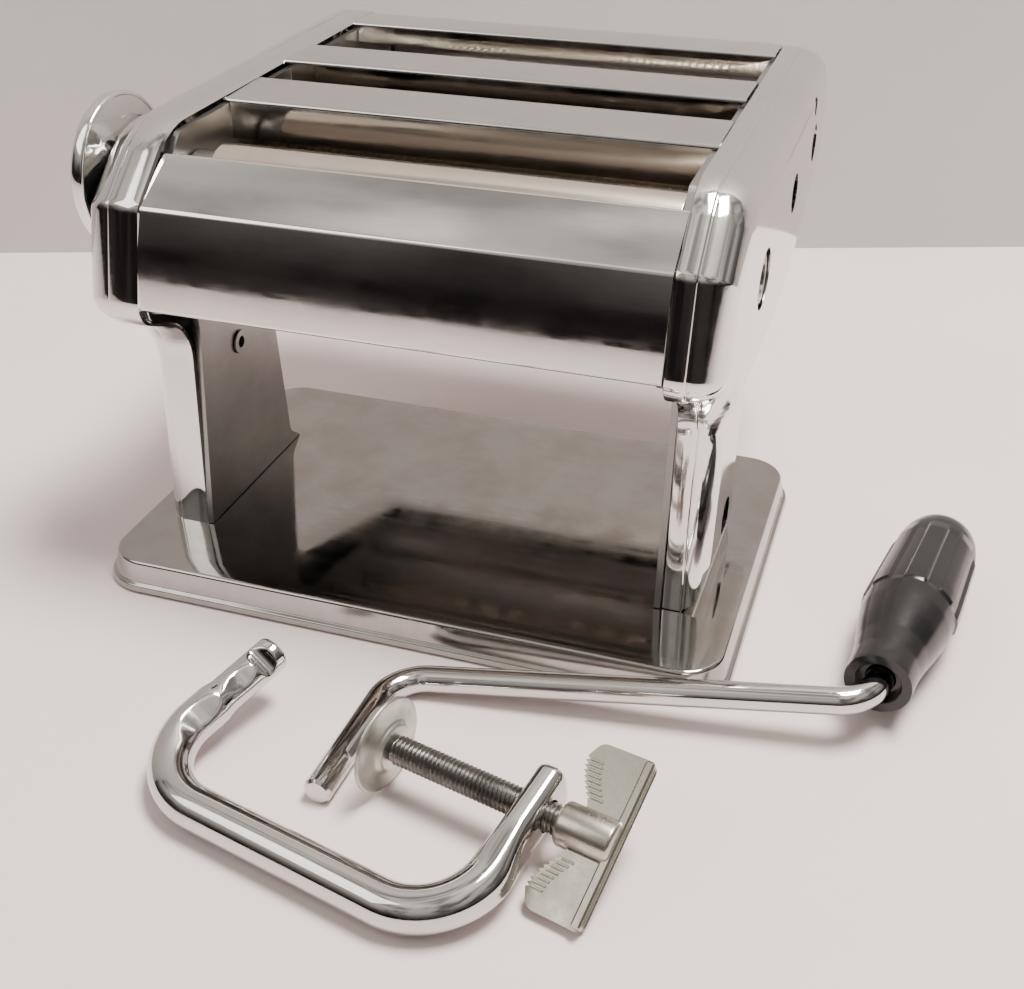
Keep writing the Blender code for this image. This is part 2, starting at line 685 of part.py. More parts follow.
def smooth_rollers():
    """The driven roller turns in the plates; the other one turns on a shaft that moves away from it."""
    drive = axis_empty("drive_spin_axis", DRIVE_AXIS)
    carriage = axis_empty("adjust_slide_axis", ADJUST_AXIS)
    adjust = empty("adjust_spin_axis", carriage)
    tooth_step = math.tau / ROLLER_TEETH
    away = away_from_drive()
    heading = math.atan2(away[1], away[0])
    seat = ROLLER_JOURNAL + GAP
    driven = (
        roller("drive_roller", DRIVE_AXIS, ROLLER_RADIUS, ROLLER_JOURNAL, drive),
        driven_gear(
            "drive_gear", DRIVE_AXIS, ROLLER_TEETH, ROLLER_PITCH, seat, heading, DRIVE_HUB, DRIVE_HUB_END,
            drive,
        ),
    )
    on_axis(driven, DRIVE_AXIS)
    facing = heading + math.pi + tooth_step / 2
    moved = (
        hollow_roller(adjust),
        gear("adjust_gear", ADJUST_AXIS, ROLLER_TEETH, ROLLER_PITCH, seat, facing, adjust),
        adjust_shaft(carriage),
    )
    on_axis(moved, ADJUST_AXIS)
    for name, side in (("left", -1), ("right", 1)):
        sleeve(
            f"drive_bush_{name}", ROLLER_BUSH, seat, BUSH_IN, BUSH_OUT, BUSH_PLASTIC, DRIVE_AXIS, side,
            steps=12, flange=(8.6 * MM, PLATE_OUT + GAP),
        )


def cutter_pair(kind, front_axis, rear_axis):
    """Two cutters; the rear one is driven and its gear is bored for the crank."""
    tooth_step = math.tau / CUTTER_TEETH
    seat = CUTTER_JOURNAL + GAP
    rear = axis_empty(f"{kind}_rear_axis", rear_axis)
    front = axis_empty(f"{kind}_front_axis", front_axis)
    driven = (
        roller(f"{kind}_cutter_rear", rear_axis, CUTTER_RADIUS, CUTTER_JOURNAL, rear, steps=20),
        driven_gear(
            f"{kind}_gear_rear", rear_axis, CUTTER_TEETH, CUTTER_PITCH, seat, math.pi, CUTTER_HUB,
            CUTTER_HUB_END, rear,
        ),
    )
    on_axis(driven, rear_axis)
    idle = (
        roller(
            f"{kind}_cutter_front", front_axis, CUTTER_RADIUS, CUTTER_JOURNAL, front, False, steps=20
        ),
        gear(f"{kind}_gear_front", front_axis, CUTTER_TEETH, CUTTER_PITCH, seat, tooth_step / 2, front),
    )
    on_axis(idle, front_axis)
    for place, axis in (("front", front_axis), ("rear", rear_axis)):
        for name, side in (("left", -1), ("right", 1)):
            sleeve(
                f"{kind}_bush_{place}_{name}", CUTTER_BUSH, seat, BUSH_IN, BUSH_OUT, BUSH_PLASTIC,
                axis, side, steps=12,
            )


# ---------------------------------------------------------------- thickness adjustment

def knob():
    """Shaft in the left plate, and the cap that pulls out against a spring."""
    shaft_axis = axis_empty("knob_turn_axis", KNOB_AXIS)
    cap_axis = empty("knob_pull_axis", shaft_axis)
    sleeve(
        "knob_bush", CUTTER_BUSH, KNOB_SHAFT + GAP, BUSH_IN, PLATE_OUT, BUSH_PLASTIC, KNOB_AXIS, side=-1,
        steps=12,
    )
    shaft = (
        (0, 101.2), (4.6, 101.2), (5.6, 100.6), (5.6, 99.6), (4.0, 99.6), (4.0, 79.4), (6.5, 79.4),
        (6.5, 77.6), (4.0, 77.6), (4.0, 75.0), (0, 75.0),
    )
    turning = (
        turned_side("knob_shaft", shaft, GEAR_STEEL, KNOB_AXIS, -1, shaft_axis, steps=16),
        knob_spring(shaft_axis),
    )
    on_axis(turning, KNOB_AXIS)
    cap = (
        (0, 106.6), (9.0, 106.1), (16.0, 105.0), (20.6, 103.9), (22.9, 103.1), (23.5, 102.2), (23.5, 98.6),
        (6.9, 98.6), (6.9, 88.0), (4.4, 88.0), (4.4, 90.0), (6.0, 90.0), (6.0, 100.0), (22.1, 100.0),
        (22.1, 101.7), (20.2, 102.7), (15.6, 103.9), (8.7, 105.1), (0, 105.6),
    )
    caps = (turned_side("knob_cap", cap, CHROME, KNOB_AXIS, -1, cap_axis, steps=28),)
    on_axis(caps, KNOB_AXIS)


def knob_spring(parent):
    """The coil behind the shaft's head, drawn at the length it has with the cap pulled out."""
    turns, wire, radius = 3.5, 0.45 * MM, 5.0 * MM
    start, end = 94.3 * MM, 99.0 * MM
    count = 28
    points = []
    for i in range(count + 1):
        share = i / count
        angle = math.tau * turns * share
        points.append(
            Vector((radius * math.cos(angle), radius * math.sin(angle), start + (end - start) * share))
        )
    mesh = bar_mesh(points, wire, resolution=0)
    return new_object(
        "knob_spring", mesh, GEAR_STEEL, parent, (0, *KNOB_AXIS), SIDEWAYS_LEFT, smooth=60
    )


# ---------------------------------------------------------------- crank

def crank():
    """A bent round bar with a plain end that fits the driven hubs, and a grip that turns on it."""
    holder = empty("crank_lift_axis", root, Matrix.Translation(CRANK_BEND))
    along = (CRANK_TIP - CRANK_COLLAR).normalized()
    axle_end = CRANK_COLLAR + along * (GRIP_BORE_DEPTH - 1 * MM)
    corner = CRANK_COLLAR - along * 9.0 * MM
    points = [CRANK_END, CRANK_BEND, corner, axle_end]
    path = [point - CRANK_BEND for point in arc_path(points, CRANK_BEND_RADIUS)]
    new_object("crank_rod", bar_mesh(path, CRANK_RADIUS), CHROME, holder, smooth=50)
    grip_matrix = along.to_track_quat("Z", "Y").to_matrix().to_4x4()
    grip_matrix.translation = CRANK_COLLAR - CRANK_BEND
    grip_axis = empty("grip_spin_axis", holder, grip_matrix)
    length = (CRANK_TIP - CRANK_COLLAR).length / MM
    bore, depth = GRIP_BORE / MM, GRIP_BORE_DEPTH / MM
    profile = (
        (0, length), (6.0, length - 0.5), (10.0, length - 2.2), (11.6, length - 5.0),
        (13.2, 0.87 * length), (14.0, 0.62 * length), (14.2, 0.44 * length), (12.0, 0.25 * length),
        (9.8, 0.1 * length), (9.5, 0.0), (6.4, 0.0), (6.4, 3.0), (bore, 3.0), (bore, depth), (0, depth),
    )
    turned("crank_grip", profile, BLACK_PLASTIC, grip_axis, steps=24)


# ---------------------------------------------------------------- clamp

def clamp_matrix():
    """Along the spine, along the arms (tilted up from the table), and across both."""
    along = Vector((math.cos(CLAMP_TURN), math.sin(CLAMP_TURN), 0))
    flat = Vector((-math.sin(CLAMP_TURN), math.cos(CLAMP_TURN), 0))
    arms = flat * math.cos(CLAMP_TILT) + Vector((0, 0, 1)) * math.sin(CLAMP_TILT)
    placed = Matrix((along, arms, along.cross(arms))).transposed().to_4x4()
    placed.translation = CLAMP_CORNER
    return placed


def clamp_frame(holder):
    """The bent bar: a necked tip that enters the machine's leg, and a flat eye for the screw."""
    first_arm = Vector((math.sin(CLAMP_SPLAY), math.cos(CLAMP_SPLAY), 0))
    tip = first_arm * CLAMP_ARM
    far_corner = Vector((CLAMP_SPINE, 0, 0))
    far_end = far_corner + Vector((0, CLAMP_ARM, 0))
    path = arc_path([tip, Vector((0, 0, 0)), far_corner, far_end], CLAMP_BEND)
    neck = [tip - first_arm * (distance * MM) for distance in (4.0, 5.5, 12.0, 16.0)]
    path = path[:1] + neck + path[1:]
    radii = [0.8, 0.8, 0.62, 0.80, 1.0] + [1.0] * (len(path) - 5)
    frame = new_object("clamp_frame", bar_mesh(path, CLAMP_BAR, radii), CHROME, holder)
    eye_profile = ((0, 5.2), (7.2, 5.2), (8.0, 4.4), (8.0, -4.4), (7.2, -5.2), (0, -5.2))
    eye_place = (CLAMP_SPINE, SCREW_HEIGHT, 0)
    eye = turned("clamp_eye", eye_profile, CHROME, holder, eye_place, (0, math.pi / 2, 0), steps=16)
    hole_reach = (SCREW_RADIUS + GAP) / math.cos(math.pi / 16) / MM
    hole_profile = ((0, 12), (hole_reach, 12), (hole_reach, -12), (0, -12))
    hole = turned("clamp_hole", hole_profile, CHROME, holder, eye_place, (0, math.pi / 2, 0), steps=16)
    boolean(frame, make_cutter(eye), "UNION")
    boolean(frame, make_cutter(hole))


def wing_outline():
    """The wing's blade: straight outer edge, ends cut square, inner edges curving in to the hub."""
    half = WING_HALF / MM
    corners = (
        (8.4, -half, 2), (8.4, half, 2), (-6.6, half - 0.5, 3), (-7.0, 12.5, 3), (-3.0, 6.0, 2),
        (-3.0, -6.0, 2), (-7.0, -12.5, 3), (-6.6, -half + 0.5, 3),
    )
    return rounded(corners, segments=3)


def clamp():
    holder = empty("clamp_lift_axis", root, clamp_matrix())
    clamp_frame(holder)
    pad_axis = empty("clamp_pad_axis", holder, Matrix.Translation((PAD_FROM_CORNER, SCREW_HEIGHT, 0)))
    screw_axis = empty("clamp_screw_axis", pad_axis)
    facing = (0, math.pi / 2, 0)
    rim = PAD_RADIUS / MM
    pad = (
        (0, 2.6), (6.6, 2.6), (7.2, 1.4), (10.8, 0.3), (rim - 0.3, 0.3), (rim, 0.0), (rim, -0.9),
        (10.4, -0.9), (6.8, 0.0), (6.2, 0.9), (0, 0.9),
    )
    turned("clamp_pad", pad, ZINC, pad_axis, (0, 0, 0), facing, steps=24)
    thread_start = 2.9
    screw_end = (WING_FROM_CORNER - PAD_FROM_CORNER) / MM + 4.0
    radius = SCREW_RADIUS / MM
    screw = (
        (0, screw_end), (radius - 0.5, screw_end), (radius, screw_end - 0.5), (radius, thread_start + 0.5),
        (radius - 0.5, thread_start), (0, thread_start),
    )
    turned("clamp_screw", screw, GEAR_STEEL, screw_axis, (0, 0, 0), facing, steps=16)
    wing_place = Matrix.Translation((WING_FROM_CORNER - PAD_FROM_CORNER, 0, 0))
    wing_turn = Matrix.Rotation(WING_ANGLE, 4, "X")
    wing_axis = empty("wing_axis", screw_axis, wing_place @ wing_turn)
    blade = new_object("clamp_wing", flat_mesh([wing_outline()], 1.8 * MM), ZINC, wing_axis)
    hub_radius = WING_HUB / MM
    hub_profile = (
        (0, 7.6), (hub_radius - 0.8, 7.6), (hub_radius, 6.8), (hub_radius, -7.6), (0, -7.6),
    )
    hub = turned("wing_hub", hub_profile, ZINC, wing_axis, (0, 0, 0), facing, steps=20)
    bore_reach = (SCREW_RADIUS + GAP) / math.cos(math.pi / 16) / MM
    bore_profile = ((0, 4.4), (bore_reach, 4.4), (bore_reach, -12), (0, -12))
    bore = turned("wing_bore", bore_profile, ZINC, wing_axis, (0, 0, 0), facing, steps=16)
    boolean(blade, make_cutter(hub), "UNION")
    boolean(blade, make_cutter(bore))


# ---------------------------------------------------------------- the whole set

base_tray()
feet()
side_covers()
side_plates()
tie_rods()
sheet_covers()
scrapers()
smooth_rollers()
cutter_pair("fine", FINE_FRONT_AXIS, FINE_REAR_AXIS)
cutter_pair("wide", WIDE_FRONT_AXIS, WIDE_REAR_AXIS)
knob()
crank()
clamp()
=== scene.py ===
"""Looks of the pasta roller machine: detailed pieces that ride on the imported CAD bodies.

Machine coordinates are millimetres: +X along the rollers towards the crank side, +Y to the
rear, +Z up, the table top at z = 0 and the middle of the base at x = y = 0.
"""

import json
import math

import bmesh
import bpy
from mathutils import Matrix, Vector


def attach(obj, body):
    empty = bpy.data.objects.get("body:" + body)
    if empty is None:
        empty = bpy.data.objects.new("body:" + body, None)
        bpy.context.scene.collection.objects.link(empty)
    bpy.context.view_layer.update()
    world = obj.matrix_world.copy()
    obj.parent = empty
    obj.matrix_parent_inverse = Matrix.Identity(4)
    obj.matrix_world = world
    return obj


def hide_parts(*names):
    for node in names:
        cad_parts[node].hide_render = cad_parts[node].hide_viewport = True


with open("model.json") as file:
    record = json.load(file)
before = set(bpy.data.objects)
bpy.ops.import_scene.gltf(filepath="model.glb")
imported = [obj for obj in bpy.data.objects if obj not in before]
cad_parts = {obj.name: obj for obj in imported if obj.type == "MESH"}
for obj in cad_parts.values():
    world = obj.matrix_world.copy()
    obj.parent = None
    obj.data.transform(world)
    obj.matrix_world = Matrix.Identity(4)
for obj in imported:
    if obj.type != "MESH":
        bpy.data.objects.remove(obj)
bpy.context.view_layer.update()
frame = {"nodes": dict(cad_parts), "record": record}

MM = 0.001
ORIGIN = Matrix.Translation((-30.6 * MM, 19.6 * MM, 0))

SHEET = 1.0
COVER_SHEET = 0.9
PLATE_IN, PLATE_OUT, GAP = 75.3, 77.3, 0.3
LEG_DROP, NECK_TOP, NECK_BOTTOM = 4.2, 80.0, 66.0
COVER_SHOULDER, COVER_FACE, LEFT_DEEPER = 83.6, 93.3, 3.2
BORE_STEPS = 48

COVER_OUTLINE = (
    (-36.5, 10.8, 0), (24.3, 10.8, 0), (18.4, 59.0, 10), (132.0, 99.6, 15), (134.5, 144.6, 19.5),
    (-30.0, 142.3, 25), (-50.5, 124.5, 5), (-58.6, 92.5, 7), (-31.8, 80.2, 16),
)
PLATE_OUTLINE = (
    (-37.0, 10.8, 0), (28.5, 10.8, 0), (21.9, 15.5, 4), (15.9, 78.0, 8), (129.5, 102.2, 12),
    (132.4, 142.4, 17), (-27.5, 140.2, 4), (-33.0, 134.3, 0), (-48.6, 123.4, 3),
    (-55.9, 94.5, 4), (-29.6, 84.0, 6),
)
# The pressed cover's section from rim to face, as (inset, x): flange, crease, shoulder, face.
COVER_SECTION = (
    (0.7, 77.6), (0.15, 77.9), (0.0, 78.6), (0.0, 83.0), (0.18, 83.35), (0.55, 83.6), (0.6, 83.85),
    (0.45, 84.1), (0.5, 84.7), (0.85, 86.2), (1.5, 88.0), (2.6, 89.9), (4.2, 91.5), (6.2, 92.6),
    (8.5, 93.1), (11.0, 93.3),
)
FRONT_PATH = (
    (-54.0, 95.2, 0), (-57.6, 95.9, 1.2), (-55.1, 110.0, 90), (-50.5, 124.5, 2.4),
    (-33.8, 136.4, 1.2), (-32.9, 134.6, 0),
)
BAR_FRONT_PATH = ((2.5, 129.8, 0), (2.5, 142.1, 1.2), (26.7, 142.8, 1.2), (26.7, 130.5, 0))
BAR_REAR_PATH = ((44.9, 134.9, 0), (44.9, 144.0, 1.2), (66.8, 144.1, 1.2), (66.8, 135.0, 0))
REAR_PATH = (
    (100.4, 137.6, 0), (100.4, 144.4, 1.2), (134.5, 144.6, 19.5), (132.0, 99.6, 15), (117.0, 94.3, 0),
)
# Axes as (y, z).
KNOB_AXIS = (-22.0, 124.6)
DRIVE_AXIS, ADJUST_AXIS = (-3.3, 107.0), (-21.05, 123.71)
FINE_FRONT_AXIS, FINE_REAR_AXIS = (24.8, 116.0), (46.8, 116.0)
WIDE_FRONT_AXIS, WIDE_REAR_AXIS = (72.6, 118.0), (94.6, 118.0)
# Holes in the right cover as (y, z, radius): three crank sockets, a small one and the clamp's.
COVER_HOLES = (
    (*DRIVE_AXIS, 9.0), (*FINE_REAR_AXIS, 6.1), (*WIDE_REAR_AXIS, 6.2), (90.0, 131.5, 3.0),
    (-4.0, 27.0, 6.2),
)
COVER_SLOT = ((-22.0, 68.7, 2.2), (-2.0, 68.7, 2.2), (-2.0, 73.3, 2.2), (-22.0, 73.3, 2.2))
KNOB_HOLE = 7.8


# ---------------------------------------------------------------- outlines

def unit(dx, dy):
    length = math.hypot(dx, dy)
    return dx / length, dy / length


def limited(value):
    return min(max(value, 0.0), 1.0)


def eased(value):
    value = limited(value)
    return value * value * (3 - 2 * value)


def circle(radius, height, steps):
    """Points of a ring about Z."""
    return [
        (radius * math.cos(math.tau * s / steps), radius * math.sin(math.tau * s / steps), height)
        for s in range(steps)
    ]


def rounded(corners, closed=True, segments=10):
    """Points of an outline whose corners (y, z, radius) are rounded."""
    count = len(corners)
    points = []
    for i, (y, z, radius) in enumerate(corners):
        if radius == 0 or (not closed and i in (0, count - 1)):
            points.append((y, z))
            continue
        back = unit(corners[i - 1][0] - y, corners[i - 1][1] - z)
        ahead = unit(corners[(i + 1) % count][0] - y, corners[(i + 1) % count][1] - z)
        half = math.acos(max(-1, min(1, back[0] * ahead[0] + back[1] * ahead[1]))) / 2
        middle = unit(back[0] + ahead[0], back[1] + ahead[1])
        centre = (y + middle[0] * radius / math.sin(half), z + middle[1] * radius / math.sin(half))
        turn = math.pi - 2 * half
        side = 1 if back[0] * ahead[1] - back[1] * ahead[0] < 0 else -1
        start = math.atan2(-middle[1], -middle[0]) - side * turn / 2
        for step in range(segments + 1):
            angle = start + side * turn * step / segments
            points.append((centre[0] + radius * math.cos(angle), centre[1] + radius * math.sin(angle)))
    return points


def shrunk(corners, inset):
    """The corners of a counterclockwise outline moved inwards, with radii that keep their centres."""
    count = len(corners)
    moved = []
    for i, (y, z, radius) in enumerate(corners):
        before = unit(y - corners[i - 1][0], z - corners[i - 1][1])
        after = unit(corners[(i + 1) % count][0] - y, corners[(i + 1) % count][1] - z)
        turning = before[0] * after[1] - before[1] * after[0]
        share = inset / (1 + before[0] * after[0] + before[1] * after[1])
        new_radius = radius
        if radius:
            new_radius = max(radius - inset, 0.5) if turning > 0 else radius + inset
        moved.append((y - (before[1] + after[1]) * share, z + (before[0] + after[0]) * share, new_radius))
    return moved


def sheet_section(path, thickness):
    """A closed section: the path of the outer face and the same path moved right by the thickness."""
    outer = rounded(path, closed=False, segments=8)
    inner = []
    for i, (y, z) in enumerate(outer):
        before = unit(y - outer[i - 1][0], z - outer[i - 1][1]) if i else None
        after = unit(outer[i + 1][0] - y, outer[i + 1][1] - z) if i < len(outer) - 1 else None
        before = before or after
        after = after or before
        share = thickness / (1 + before[0] * after[0] + before[1] * after[1])
        inner.append((y + (before[1] + after[1]) * share, z - (before[0] + after[0]) * share))
    return outer + inner[::-1]


# ---------------------------------------------------------------- pieces

def piece(name, shell, look, body, nodes, place=ORIGIN, angle=32.0):
    """A mesh in millimetres that rides on a body and stands for CAD nodes."""
    bmesh.ops.recalc_face_normals(shell, faces=shell.faces[:])
    mesh = bpy.data.meshes.new(name)
    shell.to_mesh(mesh)
    shell.free()
    mesh.transform(Matrix.Diagonal((MM, MM, MM, 1)))
    mesh.materials.append(look)
    mesh.shade_smooth()
    mesh.set_sharp_from_angle(angle=math.radians(angle))
    made = bpy.data.objects.new(name, mesh)
    made.matrix_world = place
    bpy.context.scene.collection.objects.link(made)
    if body:
        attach(made, body)
        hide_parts(*nodes)
    return made


def tool(shell, place=ORIGIN):
    """A cutter, or a shape to join, that carve uses up."""
    return piece("tool", shell, None, None, (), place)


def carve(target, tools, operation="DIFFERENCE", angle=32.0):
    """Booleans and any other modifier applied to the mesh; the tools are removed."""
    for cutter in tools:
        modifier = target.modifiers.new("carve", "BOOLEAN")
        modifier.object = cutter
        modifier.operation = operation
        modifier.solver = "EXACT"
    bpy.context.view_layer.update()
    graph = bpy.context.evaluated_depsgraph_get()
    mesh = bpy.data.meshes.new_from_object(target.evaluated_get(graph))
    target.modifiers.clear()
    look = target.data.materials[0]
    target.data = mesh
    mesh.materials.clear()
    mesh.materials.append(look)
    for polygon in mesh.polygons:
        polygon.material_index = 0
    mesh.shade_smooth()
    mesh.set_sharp_from_angle(angle=math.radians(angle))
    for cutter in tools:
        bpy.data.objects.remove(cutter)


def loft(rings, closed_ends=True):
    """A skin over rings of 3-D points that have the same count."""
    shell = bmesh.new()
    loops = [[shell.verts.new(point) for point in ring] for ring in rings]
    for lower, upper in zip(loops, loops[1:]):
        for i, vert in enumerate(lower):
            shell.faces.new((lower[i - 1], vert, upper[i], upper[i - 1]))
    if closed_ends:
        shell.faces.new(loops[0])
        shell.faces.new(loops[-1])
    return shell


def prism(section, x_start, x_end, cuts=1):
    """A section in the side view, run along X."""
    rings = []
    for i in range(cuts + 1):
        x = x_start + (x_end - x_start) * i / cuts
        rings.append([(x, y, z) for y, z in section])
    return loft(rings)


def softened(profile, corner, ring):
    """The profile with each corner blended; a point's third value is the reach of its own blend."""
    fine = []
    count = len(profile)
    for i, values in enumerate(profile):
        point = Vector(values[:2])
        blend = values[2] if len(values) > 2 else corner
        at_end = not ring and i in (0, count - 1)
        if at_end or blend == 0:
            fine.append(tuple(values[:2]))
            continue
        back = Vector(profile[i - 1][:2]) - point
        ahead = Vector(profile[(i + 1) % count][:2]) - point
        reach = min(blend, back.length * 0.45, ahead.length * 0.45)
        first = point + back.normalized() * reach
        last = point + ahead.normalized() * reach
        middle = (first + last) / 4 + point / 2
        fine += [tuple(first), tuple(middle), tuple(last)]
    return fine


def lathe(profile, steps, corner=0.25, ring=False):
    """A profile of (radius, height) turned about local Z; its corners are rounded a little."""
    shell = bmesh.new()
    columns = []
    for radius, height in softened(profile, corner, ring):
        points = [(0, 0, height)] if radius < 1e-6 else circle(radius, height, steps)
        columns.append([shell.verts.new(point) for point in points])
    pairs = list(zip(columns, columns[1:]))
    if ring:
        pairs.append((columns[-1], columns[0]))
    for upper, lower in pairs:
        for s in range(steps):
            quad = []
            for vert in (
                upper[s % len(upper)], upper[(s + 1) % len(upper)],
                lower[(s + 1) % len(lower)], lower[s % len(lower)],
            ):
                if vert not in quad:
                    quad.append(vert)
            if len(quad) > 2:
                shell.faces.new(quad)
    return shell


def on_axis(axis, side=1):
    """Local Z out along X on the axis (y, z)."""
    turn = Matrix.Rotation(side * math.pi / 2, 4, "Y")
    return ORIGIN @ Matrix.Translation((0, axis[0] * MM, axis[1] * MM)) @ turn


def drill(radius, low, high, place):
    """A cutter for a round hole along local Z."""
    profile = ((0, high), (radius, high), (radius, low), (0, low))
    return tool(lathe(profile, BORE_STEPS, 0), place)


def arc_path(points, bend_radius, segments=20):
    """The points' path with each inner corner bent to the radius."""
    path = [points[0]]
    for before, corner, after in zip(points, points[1:], points[2:]):
        back = (before - corner).normalized()
        ahead = (after - corner).normalized()
        half = back.angle(ahead) / 2
        centre = corner + (back + ahead).normalized() * bend_radius / math.sin(half)
        first = corner + back * bend_radius / math.tan(half) - centre
        last = corner + ahead * bend_radius / math.tan(half) - centre
        for step in range(segments + 1):
            path.append(centre + first.slerp(last, step / segments).normalized() * bend_radius)
    path.append(points[-1])
    return path


def refined(path, spacing):
    """The path with points put in so that no step is longer than the spacing."""
    fine = [path[0]]
    for before, after in zip(path, path[1:]):
        count = max(1, math.ceil((after - before).length / spacing))
        for i in range(1, count + 1):
            fine.append(before.lerp(after, i / count))
    return fine


def sweep(path, section_at, steps=40):
    """A bar along a level path; section_at(distance, total, angle) gives its radius there."""
    up = Vector((0, 0, 1))
    lengths = [0.0]
    for before, after in zip(path, path[1:]):
        lengths.append(lengths[-1] + (after - before).length)
    total = lengths[-1]
    rings = []
    for i, point in enumerate(path):
        ahead = path[min(i + 1, len(path) - 1)] - path[max(i - 1, 0)]
        ahead.normalize()
        side = ahead.cross(up).normalized()
        top = side.cross(ahead)
        ring = []
        for s in range(steps):
            angle = math.tau * s / steps
            radius = section_at(lengths[i], total, angle)
            ring.append(point + (side * math.cos(angle) + top * math.sin(angle)) * radius)
        rings.append(ring)
    return loft(rings)


# ---------------------------------------------------------------- materials

def nodes_of(name):
    """A new material, its node tree and its shader."""
    made = bpy.data.materials.new(name)
    made.use_nodes = True
    tree = made.node_tree
    return made, tree, tree.nodes["Principled BSDF"]


def add(tree, kind, **inputs):
    """A shader node with its inputs set, or linked where the value is a socket."""
    node = tree.nodes.new(kind)
    for key, value in inputs.items():
        socket = node.inputs[key.replace("_", " ")]
        if isinstance(value, bpy.types.NodeSocket):
            tree.links.new(value, socket)
        else:
            socket.default_value = value
    return node


def stretched(tree, scale):
    """Object coordinates, scaled per axis, so that grain can run one way."""
    coordinates = add(tree, "ShaderNodeTexCoord")
    mapping = add(tree, "ShaderNodeMapping", Vector=coordinates.outputs["Object"], Scale=scale)
    return mapping.outputs["Vector"]


def noise(tree, scale, detail, roughness=0.55, stretch=(1, 1, 1)):
    """Noise in object space; a small value in stretch draws it out along that axis."""
    place = stretched(tree, stretch)
    node = add(
        tree, "ShaderNodeTexNoise", Vector=place, Scale=scale, Detail=detail, Roughness=roughness
    )
    return node.outputs["Fac"]


def ramp(tree, value, stops):
    """Stops are (position, grey or colour)."""
    node = add(tree, "ShaderNodeValToRGB", Fac=value)
    colours = [s if isinstance(s, tuple) else (s, s, s) for _, s in stops]
    elements = node.color_ramp.elements
    while len(elements) < len(stops):
        elements.new(0.5)
    for element, (position, _), colour in zip(elements, stops, colours):
        element.position = position
        element.color = (*colour, 1.0)
    return node.outputs["Color"]


def mixed(tree, factor, first, second, blend="MIX"):
    """Two colours mixed; each value is a socket, a number or a colour."""
    node = tree.nodes.new("ShaderNodeMix")
    node.data_type = "RGBA"
    node.blend_type = blend
    for socket, value in zip((node.inputs[0], node.inputs[6], node.inputs[7]), (factor, first, second)):
        if isinstance(value, bpy.types.NodeSocket):
            tree.links.new(value, socket)
        else:
            socket.default_value = value
    return node.outputs[2]


def bump(tree, height, distance, strength=1.0, under=None):
    """A bump of the height, in metres, on top of the one under it."""
    node = add(tree, "ShaderNodeBump", Height=height, Distance=distance, Strength=strength)
    if under:
        tree.links.new(under, node.inputs["Normal"])
    return node.outputs["Normal"]


# Painted shade on the bars' faces ends between these heights in metres, spread over the ramp to keep its
# stops apart.
SHADE_FROM, SHADE_TO, SHADE_SPREAD = 0.1395, 0.1412, 6
SLOT_SHADE = (0.34, 0.31, 0.29)
POLISHED = 0.045


def grey(value):
    return (value, value, value, 1)


def chrome(
    name, tone=0.82, waves=0.00012, smudge=0.16, grain=(1, 1, 1), warm=0.0, stains=0.0, shade_below_tops=False
):
    """Polished plate: slow waves, fine scratches, smudges, stains, and painted shade below the bars' tops.
    """
    made, tree, shader = nodes_of(name)
    shader.inputs["Metallic"].default_value = 1.0
    cloud = noise(tree, 26.0, 3.0)
    base = ramp(tree, cloud, (
        (0.3, (tone * 0.93, tone * 0.92, tone * 0.905)), (0.7, (tone, tone * 0.985, tone * (0.97 - warm))),
    ))
    patch = noise(tree, 60.0, 8.0, 0.65)
    film = ramp(tree, patch, ((0.42, 0.0), (0.68, 1.0)))
    if stains:
        stain = (1 - stains * 0.5, 1 - stains * 0.62, 1 - stains * 0.8, 1)
        brown = mixed(tree, film, grey(1), stain)
        base = mixed(tree, 1.0, base, brown, "MULTIPLY")
    # Painted shade: the colour goes darker below the bars' tops, down their faces into the slots.
    if shade_below_tops:
        level = add(tree, "ShaderNodeSeparateXYZ", Vector=stretched(tree, (1, 1, SHADE_SPREAD)))
        stops = ((SHADE_SPREAD * SHADE_FROM, SLOT_SHADE), (SHADE_SPREAD * SHADE_TO, 1.0))
        shade_ramp = ramp(tree, level.outputs["Z"], stops)
        base = mixed(tree, 1.0, base, shade_ramp, "MULTIPLY")
    tree.links.new(base, shader.inputs["Base Color"])
    scratch = noise(tree, 420.0, 2.0, 0.5, grain)
    marks = ramp(tree, scratch, ((0.45, 0.0), (0.75, 1.0)))
    rough_film = mixed(tree, film, grey(POLISHED), grey(smudge))
    rough = mixed(tree, marks, rough_film, grey(smudge * 0.9))
    tree.links.new(rough, shader.inputs["Roughness"])
    slow = bump(tree, noise(tree, 32.0, 1.0, 0.4), waves)
    fine = bump(tree, scratch, 0.000012, 0.5, slow)
    tree.links.new(fine, shader.inputs["Normal"])
    return made


def steel(
    name, dark, light, rough, grain=(1, 1, 1), scale=300.0, cloud_scale=45.0, depth=0.00003
):
    """Rolled or ground steel: directional grain over cloudy oxide."""
    made, tree, shader = nodes_of(name)
    shader.inputs["Metallic"].default_value = 1.0
    cloud = noise(tree, cloud_scale, 6.0, 0.62)
    grit = noise(tree, scale, 3.0, 0.5, grain)
    both = mixed(tree, 0.35, ramp(tree, cloud, ((0.3, 0.0), (0.7, 1.0))), grit)
    base = ramp(tree, both, ((0.15, dark), (0.85, light)))
    tree.links.new(base, shader.inputs["Base Color"])
    tree.links.new(ramp(tree, both, ((0.1, rough[1]), (0.9, rough[0]))), shader.inputs["Roughness"])
    tree.links.new(bump(tree, grit, depth, 0.8), shader.inputs["Normal"])
    return made


